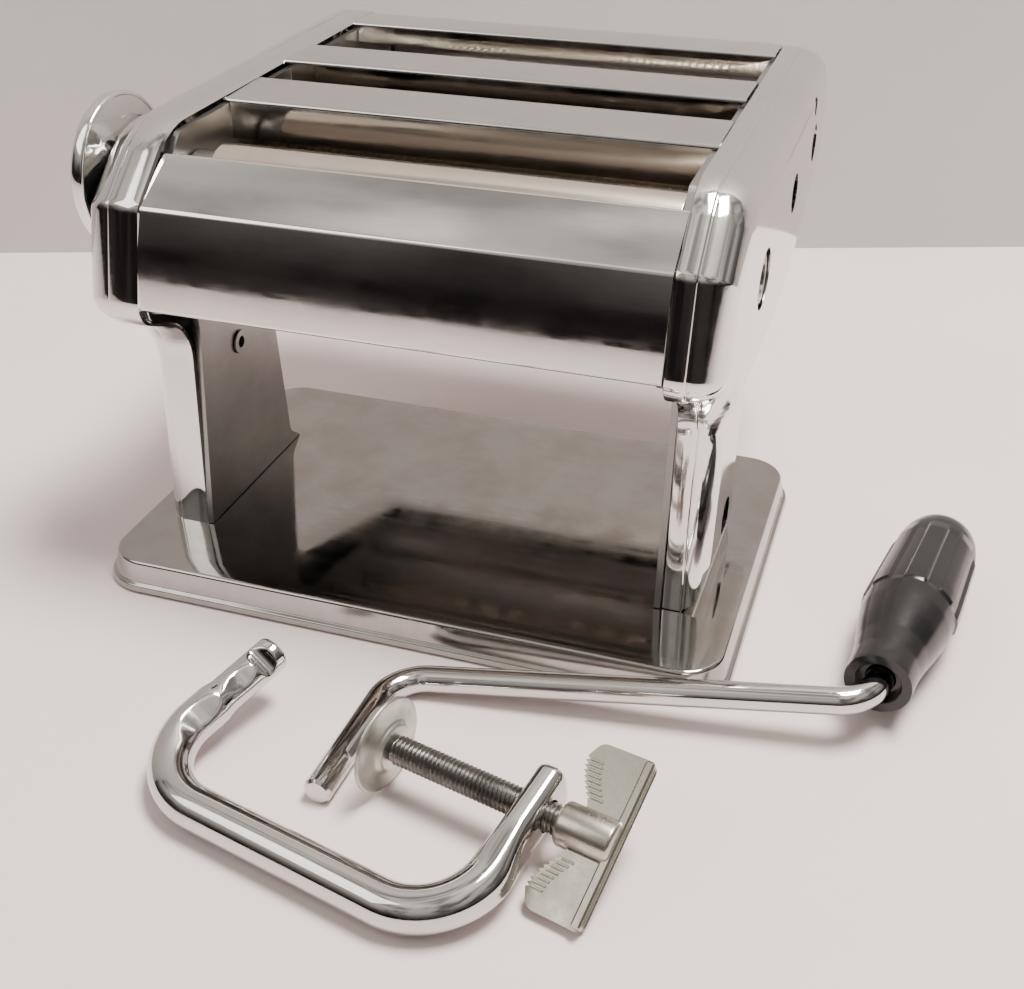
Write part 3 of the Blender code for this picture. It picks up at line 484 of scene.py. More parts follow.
def plastic(name, dark, light, rough, scale=900.0, depth=0.00002, wear=0.0):
    """Moulded plastic or rubber: clouded colour, a fine texture, and dust where wear is given."""
    made, tree, shader = nodes_of(name)
    cloud = noise(tree, 70.0, 5.0, 0.6)
    speck = noise(tree, scale, 3.0, 0.6)
    base = ramp(tree, cloud, ((0.3, dark), (0.7, light)))
    if wear:
        dust = ramp(tree, noise(tree, 160.0, 8.0, 0.7), ((0.58, 0.0), (0.75, wear)))
        base = mixed(tree, dust, base, (0.20, 0.19, 0.18, 1))
    tree.links.new(base, shader.inputs["Base Color"])
    tree.links.new(ramp(tree, speck, ((0.3, rough[0]), (0.7, rough[1]))), shader.inputs["Roughness"])
    tree.links.new(bump(tree, speck, depth, 0.6), shader.inputs["Normal"])
    return made


CHROME_COVER = chrome("chrome_covers", tone=0.76, waves=0.00007, smudge=0.10)
CHROME_FRONT = chrome("chrome_front_sheet", waves=0.00022, smudge=0.13, grain=(0.15, 1, 1), warm=0.02)
# The bars' chrome carries painted shade below their tops.
CHROME_BARS = chrome("chrome_bars", tone=0.66, waves=0.00008, grain=(0.08, 1, 1), shade_below_tops=True)
CHROME_BACK = chrome("chrome_back", tone=0.72, waves=0.00010, smudge=0.13, grain=(0.12, 1, 1))
CHROME_TRAY = chrome(
    "chrome_tray", tone=0.40, waves=0.00006, smudge=0.15, grain=(0.03, 1, 1), stains=0.3, warm=0.03
)
CHROME_ROD = chrome("chrome_bar", tone=0.66, waves=0.00004, smudge=0.14, stains=0.12)
CHROME_KNOB = chrome("chrome_knob", waves=0.00003, smudge=0.09)
PLATE_STEEL = steel(
    "rolled_plate", (0.25, 0.245, 0.235), (0.36, 0.355, 0.345), (0.30, 0.42),
    grain=(1, 0.2, 1), scale=260.0, cloud_scale=18.0, depth=0.000015,
)
ROLLER_STEEL = steel(
    "ground_roller", (0.68, 0.61, 0.52), (0.82, 0.74, 0.64), (0.15, 0.26),
    grain=(0.02, 0.02, 1), scale=900.0, cloud_scale=22.0, depth=0.000012,
)
GEAR_STEEL = steel("machined_steel", (0.16, 0.155, 0.15), (0.42, 0.41, 0.39), (0.24, 0.42), scale=500.0)
SCREW_STEEL = steel("screw_steel", (0.09, 0.085, 0.08), (0.30, 0.29, 0.27), (0.26, 0.42), scale=700.0)
ZINC = steel(
    "zinc_plate", (0.34, 0.325, 0.28), (0.56, 0.54, 0.475), (0.2, 0.34),
    scale=260.0, cloud_scale=90.0, depth=0.00004,
)
PAD_ZINC = steel(
    "pad_zinc", (0.36, 0.37, 0.33), (0.60, 0.60, 0.55), (0.26, 0.48), cloud_scale=110.0, depth=0.00005
)
BUSH_PLASTIC = plastic("bush_plastic", (0.62, 0.60, 0.54), (0.74, 0.72, 0.66), (0.35, 0.5))
GRIP_PLASTIC = plastic(
    "grip_plastic", (0.005, 0.005, 0.005), (0.012, 0.012, 0.013), (0.16, 0.26),
    scale=1200.0, depth=0.000008, wear=0.08,
)
FOOT_RUBBER = plastic(
    "foot_rubber", (0.03, 0.03, 0.03), (0.06, 0.058, 0.055), (0.6, 0.8),
    scale=600.0, depth=0.00005, wear=0.5,
)

SLOT_LOOKS = {
    "chrome": CHROME_COVER, "plate_steel": PLATE_STEEL, "roller_steel": ROLLER_STEEL,
    "gear_steel": GEAR_STEEL, "zinc_plate": ZINC, "bush_plastic": BUSH_PLASTIC,
    "grip_plastic": GRIP_PLASTIC, "foot_rubber": FOOT_RUBBER,
}
for row in frame["record"]["subparts"]:
    cad = frame["nodes"][row["node"]]
    cad.data.materials.clear()
    cad.data.materials.append(SLOT_LOOKS[row["material_slot"]])


# ---------------------------------------------------------------- base tray

TRAY_HALF_X, TRAY_HALF_Y, TRAY_CORNER = 99.5, 64.2, 12.0
TRAY_SECTION = (
    (-7.0, 10.5, 0), (0.75, 10.5, 1.3), (2.1, 3.4, 0.5), (3.3, 2.75, 0.7), (3.6, 0.9, 0),
)


def pressed(made):
    """The open shell gets its sheet thickness, inwards."""
    solid = made.modifiers.new("sheet", "SOLIDIFY")
    solid.thickness = COVER_SHEET * MM
    solid.offset = -1
    solid.use_even_offset = True
    carve(made, ())


def tray():
    """The pressed tray: flat top, rounded rim, sloping skirt, step and lip, of even sheet."""
    outer = rounded(TRAY_SECTION, closed=False, segments=6)
    rings = []
    for spread, height in outer:
        half_x, half_y = TRAY_HALF_X + spread, TRAY_HALF_Y + spread
        radius = TRAY_CORNER + spread
        corners = (
            (half_x, half_y, radius), (-half_x, half_y, radius), (-half_x, -half_y, radius),
            (half_x, -half_y, radius),
        )
        rings.append([(x, y, height) for x, y in rounded(corners, segments=12)])
    shell = loft(rings, closed_ends=False)
    shell.faces.new(list(shell.verts)[: len(rings[0])])
    pressed(piece("tray_pressed", shell, CHROME_TRAY, "root", ("base_tray",)))


tray()


# ---------------------------------------------------------------- side covers

FACE_CROWN = 1.3
CROWN_CENTRE = (38.0, 112.0)
CROWN_REACH = (95.0, 40.0)
PANEL_RISE = 0.7
FACE_EDGE, FACE_TOP = 93.2, 150.0
# Cuts that give the face enough points to be shaped: levels, then (y, top of the cut) columns.
FACE_LEVELS = [12 + i for i in range(68)] + [80 + 2 * i for i in range(32)]
FACE_COLUMNS = [(-48 + 3 * i, FACE_TOP) for i in range(60)] + [(0.7 + 0.8 * i, NECK_TOP) for i in range(20)]


def face_height(y, z):
    """How far the pressed face stands out from its shoulder: a slight crown."""
    across = (y - CROWN_CENTRE[0]) / CROWN_REACH[0]
    up = (z - CROWN_CENTRE[1]) / CROWN_REACH[1]
    return FACE_CROWN * max(1 - across ** 2 - up ** 2, 0.0) ** 1.5


def leg_panel(y, z):
    """The raised panel on the leg: its rear edge leans forward to the foot, where a recess begins."""
    rear = 8.0 + (z - 16.0) * 0.035 if z < 56 else 9.4 + (z - 56.0) * 0.4
    return PANEL_RISE * eased((rear - y) / 1.2) * eased((z - 20.0) / 1.4) * eased((76 - z) / 14)


def cut_face(shell):
    """Edges across the cover at each level, and up its face at each column."""
    for level in FACE_LEVELS:
        everything = shell.verts[:] + shell.edges[:] + shell.faces[:]
        bmesh.ops.bisect_plane(shell, geom=everything, plane_co=(0, 0, level), plane_no=(0, 0, 1))
    for depth, top in FACE_COLUMNS:
        faces = [
            f for f in shell.faces
            if all(v.co.x > FACE_EDGE for v in f.verts) and f.calc_center_median().z < top
        ]
        everything = set(faces)
        for f in faces:
            everything.update(f.verts)
            everything.update(f.edges)
        bmesh.ops.bisect_plane(shell, geom=list(everything), plane_co=(0, depth, 0), plane_no=(0, 1, 0))


def shape_face(shell, side):
    """The face crowned, dropped over the leg and, on the left, mirrored and deeper."""
    for vert in shell.verts:
        share = max(vert.co.x - COVER_SHOULDER, 0) / (COVER_FACE - COVER_SHOULDER)
        fall = eased((NECK_TOP - vert.co.z) / (NECK_TOP - NECK_BOTTOM))
        if vert.co.x > FACE_EDGE - 0.2:
            vert.co.x += face_height(vert.co.y, vert.co.z) + leg_panel(vert.co.y, vert.co.z)
        vert.co.x -= LEG_DROP * share * fall
        if side < 0:
            vert.co.x = -vert.co.x - (LEFT_DEEPER if vert.co.x > 80 else 0)


def side_cover(name, side, node):
    """A pressed shell, open towards the machine, with its holes cut."""
    rings = [[(x, y, z) for y, z in rounded(shrunk(COVER_OUTLINE, inset))] for inset, x in COVER_SECTION]
    shell = loft(rings, closed_ends=False)
    shell.faces.new(list(shell.verts)[-len(rings[-1]):])
    cut_face(shell)
    shape_face(shell, side)
    made = piece(name, shell, CHROME_COVER, "root", (node,))
    pressed(made)
    if side > 0:
        tools = [drill(radius, 80, 100, on_axis((y, z))) for y, z, radius in COVER_HOLES]
        tools.append(tool(prism(rounded(COVER_SLOT), 84, 100)))
    else:
        tools = [drill(KNOB_HOLE, 80, 100, on_axis(KNOB_AXIS, -1))]
    carve(made, tools)


side_cover("housing_left", -1, "side_cover_left")
side_cover("housing_right", 1, "side_cover_right")


# ---------------------------------------------------------------- sheets between the plates

def bent_sheet(name, path, look, node):
    """A bent sheet as wide as the plates' outer faces, with its ends cut clear of the plates."""
    shell = prism(sheet_section(path, SHEET), -PLATE_OUT, PLATE_OUT, 8)
    made = piece(name, shell, look, "root", (node,))
    clear = rounded(shrunk(PLATE_OUTLINE, -GAP), segments=8)
    carve(made, [
        tool(prism(clear, PLATE_IN - GAP, PLATE_OUT + 1)),
        tool(prism(clear, -PLATE_OUT - 1, -PLATE_IN + GAP)),
    ])


bent_sheet("sheet_front", FRONT_PATH, CHROME_FRONT, "front_cover")
bent_sheet("sheet_bar_front", BAR_FRONT_PATH, CHROME_BARS, "slot_bar_front")
bent_sheet("sheet_bar_rear", BAR_REAR_PATH, CHROME_BARS, "slot_bar_rear")
bent_sheet("sheet_rear", REAR_PATH, CHROME_BACK, "rear_cover")


# ---------------------------------------------------------------- rollers and cutters

ROLLER_RADIUS, ROLLER_HALF = 11.95, 74.6
# Right ends of the driven rollers and of their partners, and every solid roller's left end.
DRIVEN_END, PARTNER_END, LEFT_END = 82.3, 85.2, -79.3
ADJUST_LEFT_END = -66.0
CUTTER_RADIUS, CUTTER_JOURNAL = 10.85, 4.0
FINE_PITCH, FINE_DEPTH = 3.0, 1.0
WIDE_PITCH, WIDE_DEPTH = 13.0, 1.2


def roller_face(left):
    """The working face from its right end to its left one, with eased rims."""
    rim = ROLLER_RADIUS - 0.5
    return (
        (5, ROLLER_HALF), (rim, ROLLER_HALF, 0.1), (ROLLER_RADIUS, ROLLER_HALF - 0.6, 0.3),
        (ROLLER_RADIUS, left + 0.6, 0.3), (rim, left, 0.1),
    )


def driven_roller():
    """A solid roller with a journal at each end."""
    profile = (
        (0, DRIVEN_END), (4.7, DRIVEN_END), (5, DRIVEN_END - 0.4), *roller_face(-ROLLER_HALF),
        (5, -ROLLER_HALF), (5, LEFT_END + 0.3), (4.7, LEFT_END), (0, LEFT_END),
    )
    piece(
        "roller_driven", lathe(profile, 96), ROLLER_STEEL, "drive_roller_body",
        ("drive_roller",), on_axis(DRIVE_AXIS),
    )


def adjusted_roller():
    """A hollow roller on a collared shaft."""
    left = ADJUST_LEFT_END
    profile = (
        (3.9, PARTNER_END), (4.7, PARTNER_END), (5, PARTNER_END - 0.3), *roller_face(left), (3.9, left),
    )
    piece(
        "roller_adjusted", lathe(profile, 96, ring=True), ROLLER_STEEL, "adjust_roller_body",
        ("adjust_roller",), on_axis(ADJUST_AXIS),
    )
    shaft = (
        (0, 86.7), (3.2, 86.7), (3.6, 86.3), (3.6, left - 0.3), (8.7, left - 0.3), (9.0, left - 0.6),
        (9.0, -74.4), (8.7, -74.7), (0, -74.7),
    )
    piece(
        "roller_shaft", lathe(shaft, 64), GEAR_STEEL, "adjust_carriage", ("adjust_shaft",),
        on_axis(ADJUST_AXIS),
    )


def cutter(name, axis, body, node, end, pitch, depth, offset):
    """A cutter ground with square grooves; those of its partner are set half a pitch along."""
    root, edge = CUTTER_RADIUS - depth, 0.05
    profile = [
        (0, end), (3.7, end), (CUTTER_JOURNAL, end - 0.4), (CUTTER_JOURNAL, ROLLER_HALF),
        (root, ROLLER_HALF, edge),
    ]
    count = int((2 * ROLLER_HALF - 2) / pitch)
    top = count * pitch / 2 + offset
    for i in range(count):
        upper = min(top - i * pitch, ROLLER_HALF - 0.2)
        lower = max(top - (i + 0.5) * pitch, -ROLLER_HALF + 0.4)
        profile += [
            (root, upper, edge), (CUTTER_RADIUS, upper - 0.04, edge),
            (CUTTER_RADIUS, lower + 0.04, edge), (root, lower, edge),
        ]
    profile += [
        (root, -ROLLER_HALF, edge), (CUTTER_JOURNAL, -ROLLER_HALF),
        (CUTTER_JOURNAL, LEFT_END + 0.3), (3.7, LEFT_END), (0, LEFT_END),
    ]
    piece(name, lathe(profile, 64, 0), ROLLER_STEEL, body, (node,), on_axis(axis))


driven_roller()
adjusted_roller()
for width, pitch, depth, front_axis, rear_axis in (
    ("fine", FINE_PITCH, FINE_DEPTH, FINE_FRONT_AXIS, FINE_REAR_AXIS),
    ("wide", WIDE_PITCH, WIDE_DEPTH, WIDE_FRONT_AXIS, WIDE_REAR_AXIS),
):
    rows = (("front", front_axis, PARTNER_END, 0.0), ("rear", rear_axis, DRIVEN_END, pitch / 2))
    for where, axis, end, offset in rows:
        cutter(
            f"cutter_{width}_{where}", axis, f"{width}_{where}_body", f"{width}_cutter_{where}",
            end, pitch, depth, offset,
        )


# ---------------------------------------------------------------- knob

KNOB_CAP = (
    (0, 106.6, 0), (4.5, 106.5, 2), (9.0, 106.1, 2), (16.0, 105.1, 3), (20.6, 103.9, 1.6),
    (22.6, 103.0, 0.9), (23.2, 102.2, 0.8), (23.5, 101.0, 0.8), (23.5, 99.2, 0.2), (23.2, 98.7, 0.2),
    (22.4, 98.7, 0.1), (22.1, 98.9, 0.1), (6.9, 98.9), (6.9, 88.0), (4.4, 88.0), (4.4, 90.0),
    (6.0, 90.0), (6.0, 100.0), (22.1, 100.0), (22.1, 101.7, 1), (20.2, 102.7, 1), (15.6, 103.9, 2),
    (8.7, 105.1, 2), (0, 105.6, 0),
)
piece(
    "knob_dome", lathe(KNOB_CAP, 120), CHROME_KNOB, "knob_cap_body", ("knob_cap",),
    on_axis(KNOB_AXIS, -1),
)


# ---------------------------------------------------------------- crank

CRANK_RADIUS = 4.0
CRANK_END, CRANK_BEND = Vector((8.6, -136.0, 4.1)), Vector((9.7, -85.5, 4.1))
CRANK_COLLAR, CRANK_TIP = Vector((143.7, -57.6, 14.6)), Vector((156.4, 24.1, 14.6))
CRANK_CHAMFER, CRANK_BEND_RADIUS, GRIP_BORE_DEPTH = 0.8, 13.0, 68.0
KEY_START, KEY_END, KEY_FLAT, KEY_TURN = 13.0, 34.0, 3.65, 0.6
GRIP_PROFILE = (
    (0.0, 9.5), (0.02, 9.6), (0.10, 9.8), (0.18, 10.6), (0.27, 12.0), (0.36, 13.2), (0.42, 13.6),
    (0.50, 13.55), (0.62, 13.2), (0.75, 12.8), (0.86, 12.5), (0.90, 12.2), (0.935, 11.6),
    (0.96, 10.8), (0.975, 9.8), (0.99, 7.8), (1.0, 5.4),
)
GRIP_COLLAR = ((6.7, -0.02), (6.4, 0.3), (6.4, 3.0), (4.4, 3.0), (4.4, GRIP_BORE_DEPTH))
RIBS, RIB_START, RIB_END, RIB_HEIGHT = 8, 0.43, 0.87, 0.85


def crank_section(distance, _total, angle):
    """Chamfered at the tip, then a stretch with two flats that keys into the drive."""
    radius = CRANK_RADIUS
    if distance < CRANK_CHAMFER:
        radius = CRANK_RADIUS - CRANK_CHAMFER + distance
    keyed = limited((distance - KEY_START) / 1.2) * limited((KEY_END - distance) / 5.0)
    if keyed:
        flat = KEY_FLAT / max(abs(math.cos(angle - KEY_TURN)), 1e-3)
        radius = radius + (min(radius, flat) - radius) * keyed
    return radius


def profile_at(share):
    """The grip's plain radius at a share of its length."""
    for (s0, r0), (s1, r1) in zip(GRIP_PROFILE, GRIP_PROFILE[1:]):
        if share <= s1:
            return r0 + (r1 - r0) * (share - s0) / (s1 - s0)
    return GRIP_PROFILE[-1][1]


def grip(length):
    """A grip that swells from its collar, with long raised ribs over its outer half, and its bore."""
    steps, rows = 160, 120
    rings = []
    for row in range(rows + 1):
        share = row / rows
        base = profile_at(share)
        begin = limited((share - RIB_START) / 0.012)
        fade = limited((RIB_END - share) / 0.05)
        ring = []
        for s in range(steps):
            angle = math.tau * s / steps
            wave = abs(((angle * RIBS / math.tau) % 1) - 0.5) * 2
            radius = base + RIB_HEIGHT * begin * fade * (limited((wave - 0.30) / 0.16) - 0.25)
            ring.append((radius * math.cos(angle), radius * math.sin(angle), share * length))
        rings.append(ring)
    shell = loft(rings, closed_ends=False)
    skin = list(shell.verts)
    shell.faces.new(skin[-steps:])
    outer = skin[:steps]
    for radius, height in GRIP_COLLAR:
        inner = [shell.verts.new(point) for point in circle(radius, height, steps)]
        for s in range(steps):
            shell.faces.new((outer[s - 1], outer[s], inner[s], inner[s - 1]))
        outer = inner
    shell.faces.new(outer)
    return shell


def crank():
    """The bent rod, keyed at its drive end, and the grip that turns on its other end."""
    along = (CRANK_TIP - CRANK_COLLAR).normalized()
    points = [CRANK_END, CRANK_BEND, CRANK_COLLAR - along * 9.0, CRANK_COLLAR + along * 67.0]
    path = arc_path(points, CRANK_BEND_RADIUS)
    path = refined(path[:2], 0.4) + refined(path[1:], 3.0)[1:]
    shell = sweep(path, crank_section)
    piece("crank_bar", shell, CHROME_ROD, "crank", ("crank_rod",))
    grip_place = along.to_track_quat("Z", "Y").to_matrix().to_4x4()
    grip_place.translation = CRANK_COLLAR * MM
    piece(
        "crank_handle", grip((CRANK_TIP - CRANK_COLLAR).length), GRIP_PLASTIC, "crank_grip_body",
        ("crank_grip",), ORIGIN @ grip_place, 28.0,
    )


crank()


# ---------------------------------------------------------------- clamp

CLAMP_CORNER = Vector((-39.3, -147.5, 6.1))
CLAMP_TURN, CLAMP_TILT = math.radians(-13.4), math.radians(11.2)
CLAMP_BAR, CLAMP_SPINE, CLAMP_ARM, CLAMP_BEND = 6.0, 100.8, 52.7, 20.0
CLAMP_SPLAY = math.radians(7.6)
SCREW_HEIGHT, SCREW_RADIUS, SCREW_HOLE, PITCH, THREAD_DEPTH = 39.4, 4.0, 4.35, 1.25, 0.68
PAD_AT, WING_AT, WING_HALF, TEETH = 55.6, 116.2, 22.0, 8
WING_ANGLE = math.radians(20.0)
NECK, FLAT_TIP = 5.3, 34.0
NOTCH_FACING = math.radians(125.0)
# Hollows pressed into the bar near its tip: (from, to, surface, depth).
HOLLOWS = ((3.0, 9.5, NECK, 2.7), (9.5, 20.0, NECK, 0.8), (22.0, 40.0, CLAMP_BAR, 1.1))
PAD_PROFILE = (
    (0, 2.6), (6.4, 2.6, 0.8), (7.2, 1.4, 0.6), (10.8, 0.35, 0.6), (13.0, 0.3, 0.3), (13.4, 0.0, 0.2),
    (13.4, -0.8, 0.2), (13.1, -0.9, 0.1), (10.4, -0.9, 0.3), (6.8, 0.0, 0.5), (6.2, 0.9, 0.4), (0, 0.9),
)
FLANGE = ((5.9, -WING_HALF, 0.9), (8.4, -WING_HALF, 0.9), (8.4, WING_HALF, 0.9), (5.9, WING_HALF, 0.9))
HUB_PROFILE = ((0, 7.6), (5.0, 7.6, 0.4), (5.8, 6.9, 0.5), (5.8, -6.9, 0.5), (5.2, -7.6, 0.4), (0, -7.6))
TO_X = Matrix.Rotation(math.pi / 2, 4, "Y")


def clamp_place():
    """X along the bar's spine and the screw, Y along its arms."""
    along = Vector((math.cos(CLAMP_TURN), math.sin(CLAMP_TURN), 0))
    flat = Vector((-math.sin(CLAMP_TURN), math.cos(CLAMP_TURN), 0))
    arms = flat * math.cos(CLAMP_TILT) + Vector((0, 0, 1)) * math.sin(CLAMP_TILT)
    placed = Matrix((along, arms, along.cross(arms))).transposed().to_4x4()
    placed.translation = CLAMP_CORNER * MM
    return ORIGIN @ placed


def cut_flat(radius, angle, facing, reach):
    """The radius of a round bar after a flat has been pressed into one side."""
    toward = math.cos(angle - facing)
    return min(radius, reach / toward) if toward > 1e-3 else radius


def clamp_bar_radius(distance, total, angle):
    """End disc, a notch behind it, a stepped neck and a pressed flat; the far end is flattened."""
    left = total - distance
    if left < FLAT_TIP:
        share = eased((FLAT_TIP - left) / 16.0)
        wide, tall = CLAMP_BAR - 1.7 * share, CLAMP_BAR + 1.1 * share
        power = 2.0 + 0.8 * share
        across = (abs(math.cos(angle)) / wide) ** power + (abs(math.sin(angle)) / tall) ** power
        return across ** (-1 / power) - 1.6 * max(1 - left / 1.8, 0) ** 2
    radius = NECK + (CLAMP_BAR - NECK) * eased((distance - 19.0) / 5.0)
    if distance < 0.6:
        radius -= 0.6 - distance
    for start, end, surface, depth in HOLLOWS:
        if start < distance < end:
            reach = surface - depth * math.sin(math.pi * (distance - start) / (end - start))
            radius = cut_flat(radius, angle, NOTCH_FACING, reach)
    return radius


def clamp_frame():
    """The bent bar, with the screw's hole near the end of its far arm."""
    first_arm = Vector((math.sin(CLAMP_SPLAY), math.cos(CLAMP_SPLAY), 0))
    corners = [
        first_arm * CLAMP_ARM, Vector((0, 0, 0)), Vector((CLAMP_SPINE, 0, 0)),
        Vector((CLAMP_SPINE, CLAMP_ARM - 3.0, 0)),
    ]
    path = arc_path(corners, CLAMP_BEND)
    path = refined(path[:2], 0.4) + refined(path[1:-1], 2.0)[1:] + refined(path[-2:], 0.6)[1:]
    made = piece(
        "clamp_bow", sweep(path, clamp_bar_radius, 64), CHROME_ROD, "clamp", ("clamp_frame",),
        clamp_place(), 40.0,
    )
    eye = Matrix.Translation((CLAMP_SPINE * MM, SCREW_HEIGHT * MM, 0)) @ TO_X
    carve(made, [drill(SCREW_HOLE, -12, 12, clamp_place() @ eye)], angle=40.0)


def thread(start, end):
    """A real helical thread, ground off at both ends."""
    steps, per_turn = 36, 8
    rows = int((end - start) / PITCH * per_turn)
    rings = []
    for row in range(rows + 1):
        height = start + (end - start) * row / rows
        ends = min(1.0, (height - start) / 0.9, (end - height) / 0.9)
        ring = []
        for s in range(steps):
            phase = (height / PITCH - s / steps) % 1.0
            tooth = limited((abs(phase - 0.5) * 2 - 0.10) / 0.78)
            radius = (SCREW_RADIUS - THREAD_DEPTH * tooth) - 0.5 * (1 - ends)
            angle = math.tau * s / steps
            ring.append((radius * math.cos(angle), radius * math.sin(angle), height))
        rings.append(ring)
    return loft(rings)


def blade_edge(share):
    """A point on the blade's inner edge, from beside the hub (0) to its end (1)."""
    return -3.2 - 4.6 * math.sin(math.pi * 0.5 * share), 7.6 + (WING_HALF - 11.8) * share


def blade_outline():
    """Straight outer edge, rounded ends, and toothed inner edges that curve in to the hub."""
    points = []
    for i in range(TEETH * 2 + 1):
        edge, along = blade_edge(i / (TEETH * 2))
        points.append((edge + (0.5 if i % 2 else -0.5), along, 0))
    upper = [(8.4, WING_HALF, 2.2), (-6.4, WING_HALF - 0.2, 2.6)] + points[::-1]
    lower = [(x, -y, r) for x, y, r in upper[::-1]]
    return rounded(upper + [(-3.0, 6.4, 0.5), (-3.0, -6.4, 0.5)] + lower, segments=6)


def blade_ridges(place):
    """Raised ridges that run in from the teeth of both wings, on one face."""
    bars = []
    for i in range(TEETH):
        edge, along = blade_edge((2 * i + 1) / (TEETH * 2))
        for way in (-1, 1):
            bar = lathe(((0, 1.9), (0.45, 1.7), (0.45, -1.7), (0, -1.9)), 12, 0)
            shift = Matrix.Translation(((edge + 2.0) * MM, way * along * MM, 0.72 * MM))
            bars.append(tool(bar, place @ shift @ TO_X))
    return bars


def slab(outline, low, high, bevel=0.35):
    """A plate of the outline with softened edges."""
    rings = []
    for shift, z in ((bevel, low), (0, low + bevel), (0, high - bevel), (bevel, high)):
        ring = []
        count = len(outline)
        for i, (x, y) in enumerate(outline):
            before = unit(x - outline[i - 1][0], y - outline[i - 1][1])
            after = unit(outline[(i + 1) % count][0] - x, outline[(i + 1) % count][1] - y)
            share = shift / max(1 + before[0] * after[0] + before[1] * after[1], 0.6)
            ring.append((x - (before[1] + after[1]) * share, y + (before[0] + after[0]) * share, z))
        rings.append(ring)
    return loft(rings)


def clamp_wing(place):
    """A toothed blade with a flanged edge, joined to the hub that the screw ends in."""
    blade = piece(
        "clamp_key", slab(blade_outline()[::-1], -0.9, 0.9), ZINC, "clamp_screw_body",
        ("clamp_wing",), place, 40.0,
    )
    flange = tool(slab(rounded(FLANGE), -0.9, 2.4, 0.5), place)
    hub = tool(lathe(HUB_PROFILE, 64), place @ TO_X)
    carve(blade, [flange, hub] + blade_ridges(place), "UNION", 40.0)
    carve(blade, [drill(SCREW_HOLE, -12, 4.4, place @ TO_X)], angle=40.0)


def clamp_pieces():
    """Pad, threaded screw and wing, in line."""
    screw_place = clamp_place() @ Matrix.Translation((PAD_AT * MM, SCREW_HEIGHT * MM, 0))
    piece(
        "clamp_disc", lathe(PAD_PROFILE, 96), PAD_ZINC, "clamp_pad_body", ("clamp_pad",),
        screw_place @ TO_X,
    )
    reach = WING_AT - PAD_AT
    piece(
        "clamp_thread", thread(2.9, reach + 4.0), SCREW_STEEL, "clamp_screw_body",
        ("clamp_screw",), screw_place @ TO_X, 60.0,
    )
    clamp_wing(screw_place @ Matrix.Translation((reach * MM, 0, 0)) @ Matrix.Rotation(WING_ANGLE, 4, "X"))


clamp_frame()
clamp_pieces()


# ---------------------------------------------------------------- stage, lights and camera

def flat_card(name, corners, look):
    """One face of the stage."""
    shell = bmesh.new()
    shell.faces.new([shell.verts.new(c) for c in corners])
    mesh = bpy.data.meshes.new(name)
    shell.to_mesh(mesh)
    shell.free()
    mesh.materials.append(look)
    card = bpy.data.objects.new(name, mesh)
    bpy.context.scene.collection.objects.link(card)


def matte(name, low, high, rough, one_sided=False):
    """Paint or paper with a slight cloud in it; one-sided, it is clear from behind."""
    made, tree, shader = nodes_of(name)
    cloud = noise(tree, 9.0, 5.0, 0.6)
    tree.links.new(ramp(tree, cloud, ((0.3, low), (0.7, high))), shader.inputs["Base Color"])
    shader.inputs["Roughness"].default_value = rough
    shader.inputs["Specular IOR Level"].default_value = 0.25
    if one_sided:
        clear = add(tree, "ShaderNodeBsdfTransparent")
        side = add(tree, "ShaderNodeNewGeometry")
        both = tree.nodes.new("ShaderNodeMixShader")
        tree.links.new(side.outputs["Backfacing"], both.inputs[0])
        tree.links.new(shader.outputs[0], both.inputs[1])
        tree.links.new(clear.outputs[0], both.inputs[2])
        tree.links.new(both.outputs[0], tree.nodes["Material Output"].inputs["Surface"])
    return made


TABLE = matte("table_top", (0.78, 0.67, 0.652), (0.815, 0.705, 0.687), 0.55)
WALL = matte("wall", (0.55, 0.52, 0.50), (0.575, 0.545, 0.525), 0.9, True)
FLOOR_HALF, FLOOR_FRONT, FLOOR_BACK = 2.2, -1.35, 3.0
WALL_FROM, WALL_TO, WALL_TOP = (-1.6, -0.252), (1.8, 0.943), 0.9
flat_card("floor", (
    (-FLOOR_HALF, FLOOR_FRONT, 0), (FLOOR_HALF, FLOOR_FRONT, 0),
    (FLOOR_HALF, FLOOR_BACK, 0), (-FLOOR_HALF, FLOOR_BACK, 0),
), TABLE)
flat_card("back_wall", (
    (*WALL_FROM, 0), (*WALL_TO, 0), (*WALL_TO, WALL_TOP), (*WALL_FROM, WALL_TOP),
), WALL)


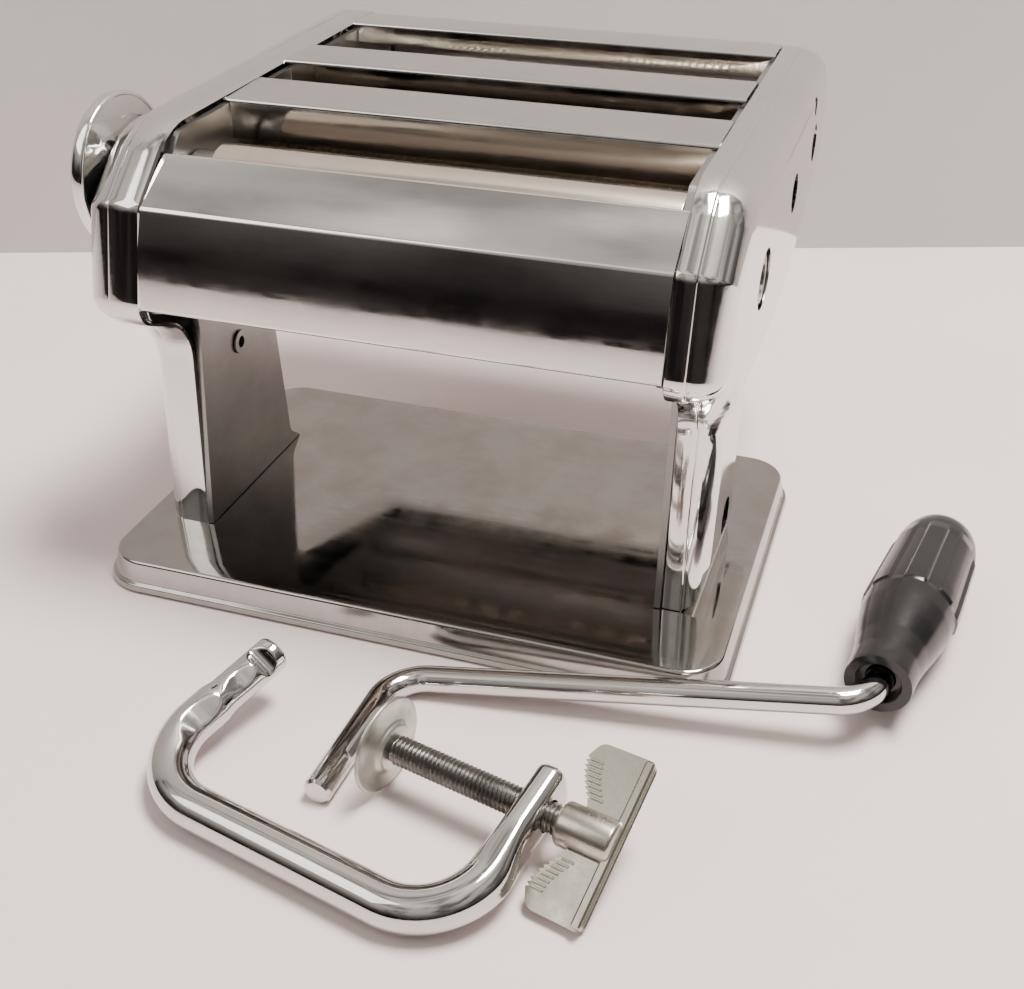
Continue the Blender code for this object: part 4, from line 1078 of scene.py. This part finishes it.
def room_light():
    """A room that is dark near the floor and bright overhead, with soft shapes for the chrome.

    Matte surfaces are lit by an even grey, and the camera sees a plain pale grey past the wall.
    """
    world = bpy.data.worlds.new("room")
    bpy.context.scene.world = world
    world.use_nodes = True
    room = world.node_tree
    direction = add(room, "ShaderNodeTexCoord").outputs["Generated"]
    height = ramp(room, add(room, "ShaderNodeSeparateXYZ", Vector=direction).outputs["Z"], (
        (0.0, (0.030, 0.026, 0.025)), (0.12, (0.035, 0.031, 0.030)), (0.30, (0.16, 0.148, 0.142)),
        (0.50, (0.44, 0.42, 0.40)), (0.75, (0.62, 0.59, 0.56)), (1.0, (1.15, 1.09, 1.01)),
    ))
    furniture = add(room, "ShaderNodeTexNoise", Vector=direction, Scale=2.6, Detail=3.0).outputs["Fac"]
    shapes = ramp(room, furniture, ((0.40, (0.35, 0.34, 0.34)), (0.56, (1.25, 1.22, 1.18))))
    reflected = mixed(room, 1.0, height, shapes, "MULTIPLY")
    rays = add(room, "ShaderNodeLightPath")
    lit = mixed(room, rays.outputs["Is Diffuse Ray"], reflected, (0.40, 0.385, 0.38, 1))
    seen = mixed(room, rays.outputs["Is Camera Ray"], lit, (0.62, 0.60, 0.585, 1))
    room.links.new(seen, room.nodes["Background"].inputs["Color"])


room_light()


def area_light(name, place, aim, size, power, colour=(1.0, 0.97, 0.93)):
    """A soft box at the place, turned to its aim."""
    lamp = bpy.data.lights.new(name, "AREA")
    lamp.shape = "RECTANGLE"
    lamp.size, lamp.size_y = size
    lamp.energy = power
    lamp.color = colour
    holder = bpy.data.objects.new(name, lamp)
    holder.location = place
    holder.rotation_euler = (Vector(aim) - Vector(place)).to_track_quat("-Z", "Y").to_euler()
    bpy.context.scene.collection.objects.link(holder)


area_light("key", (0.35, 0.15, 1.35), (0.02, 0.0, 0.05), (0.6, 0.4), 42.0)
area_light("fill", (-0.9, -0.7, 1.2), (0.0, 0.0, 0.05), (0.8, 0.8), 5.0, (1.0, 0.95, 0.9))

# The camera's right, up and backward directions, and its place.
CAMERA_AXES = ((0.94930, 0.31437, 0.00090), (-0.16484, 0.49534, 0.85292), (0.26769, -0.80982, 0.52204))
CAMERA_PLACE = (0.109201, -0.350130, 0.256820)
camera_data = bpy.data.cameras.new("camera")
camera_data.lens = 47.84
camera_data.sensor_width = 36.0
camera = bpy.data.objects.new("camera", camera_data)
looking = Matrix(CAMERA_AXES).transposed().to_4x4()
looking.translation = CAMERA_PLACE
camera.matrix_world = looking
bpy.context.scene.collection.objects.link(camera)
bpy.context.scene.camera = camera
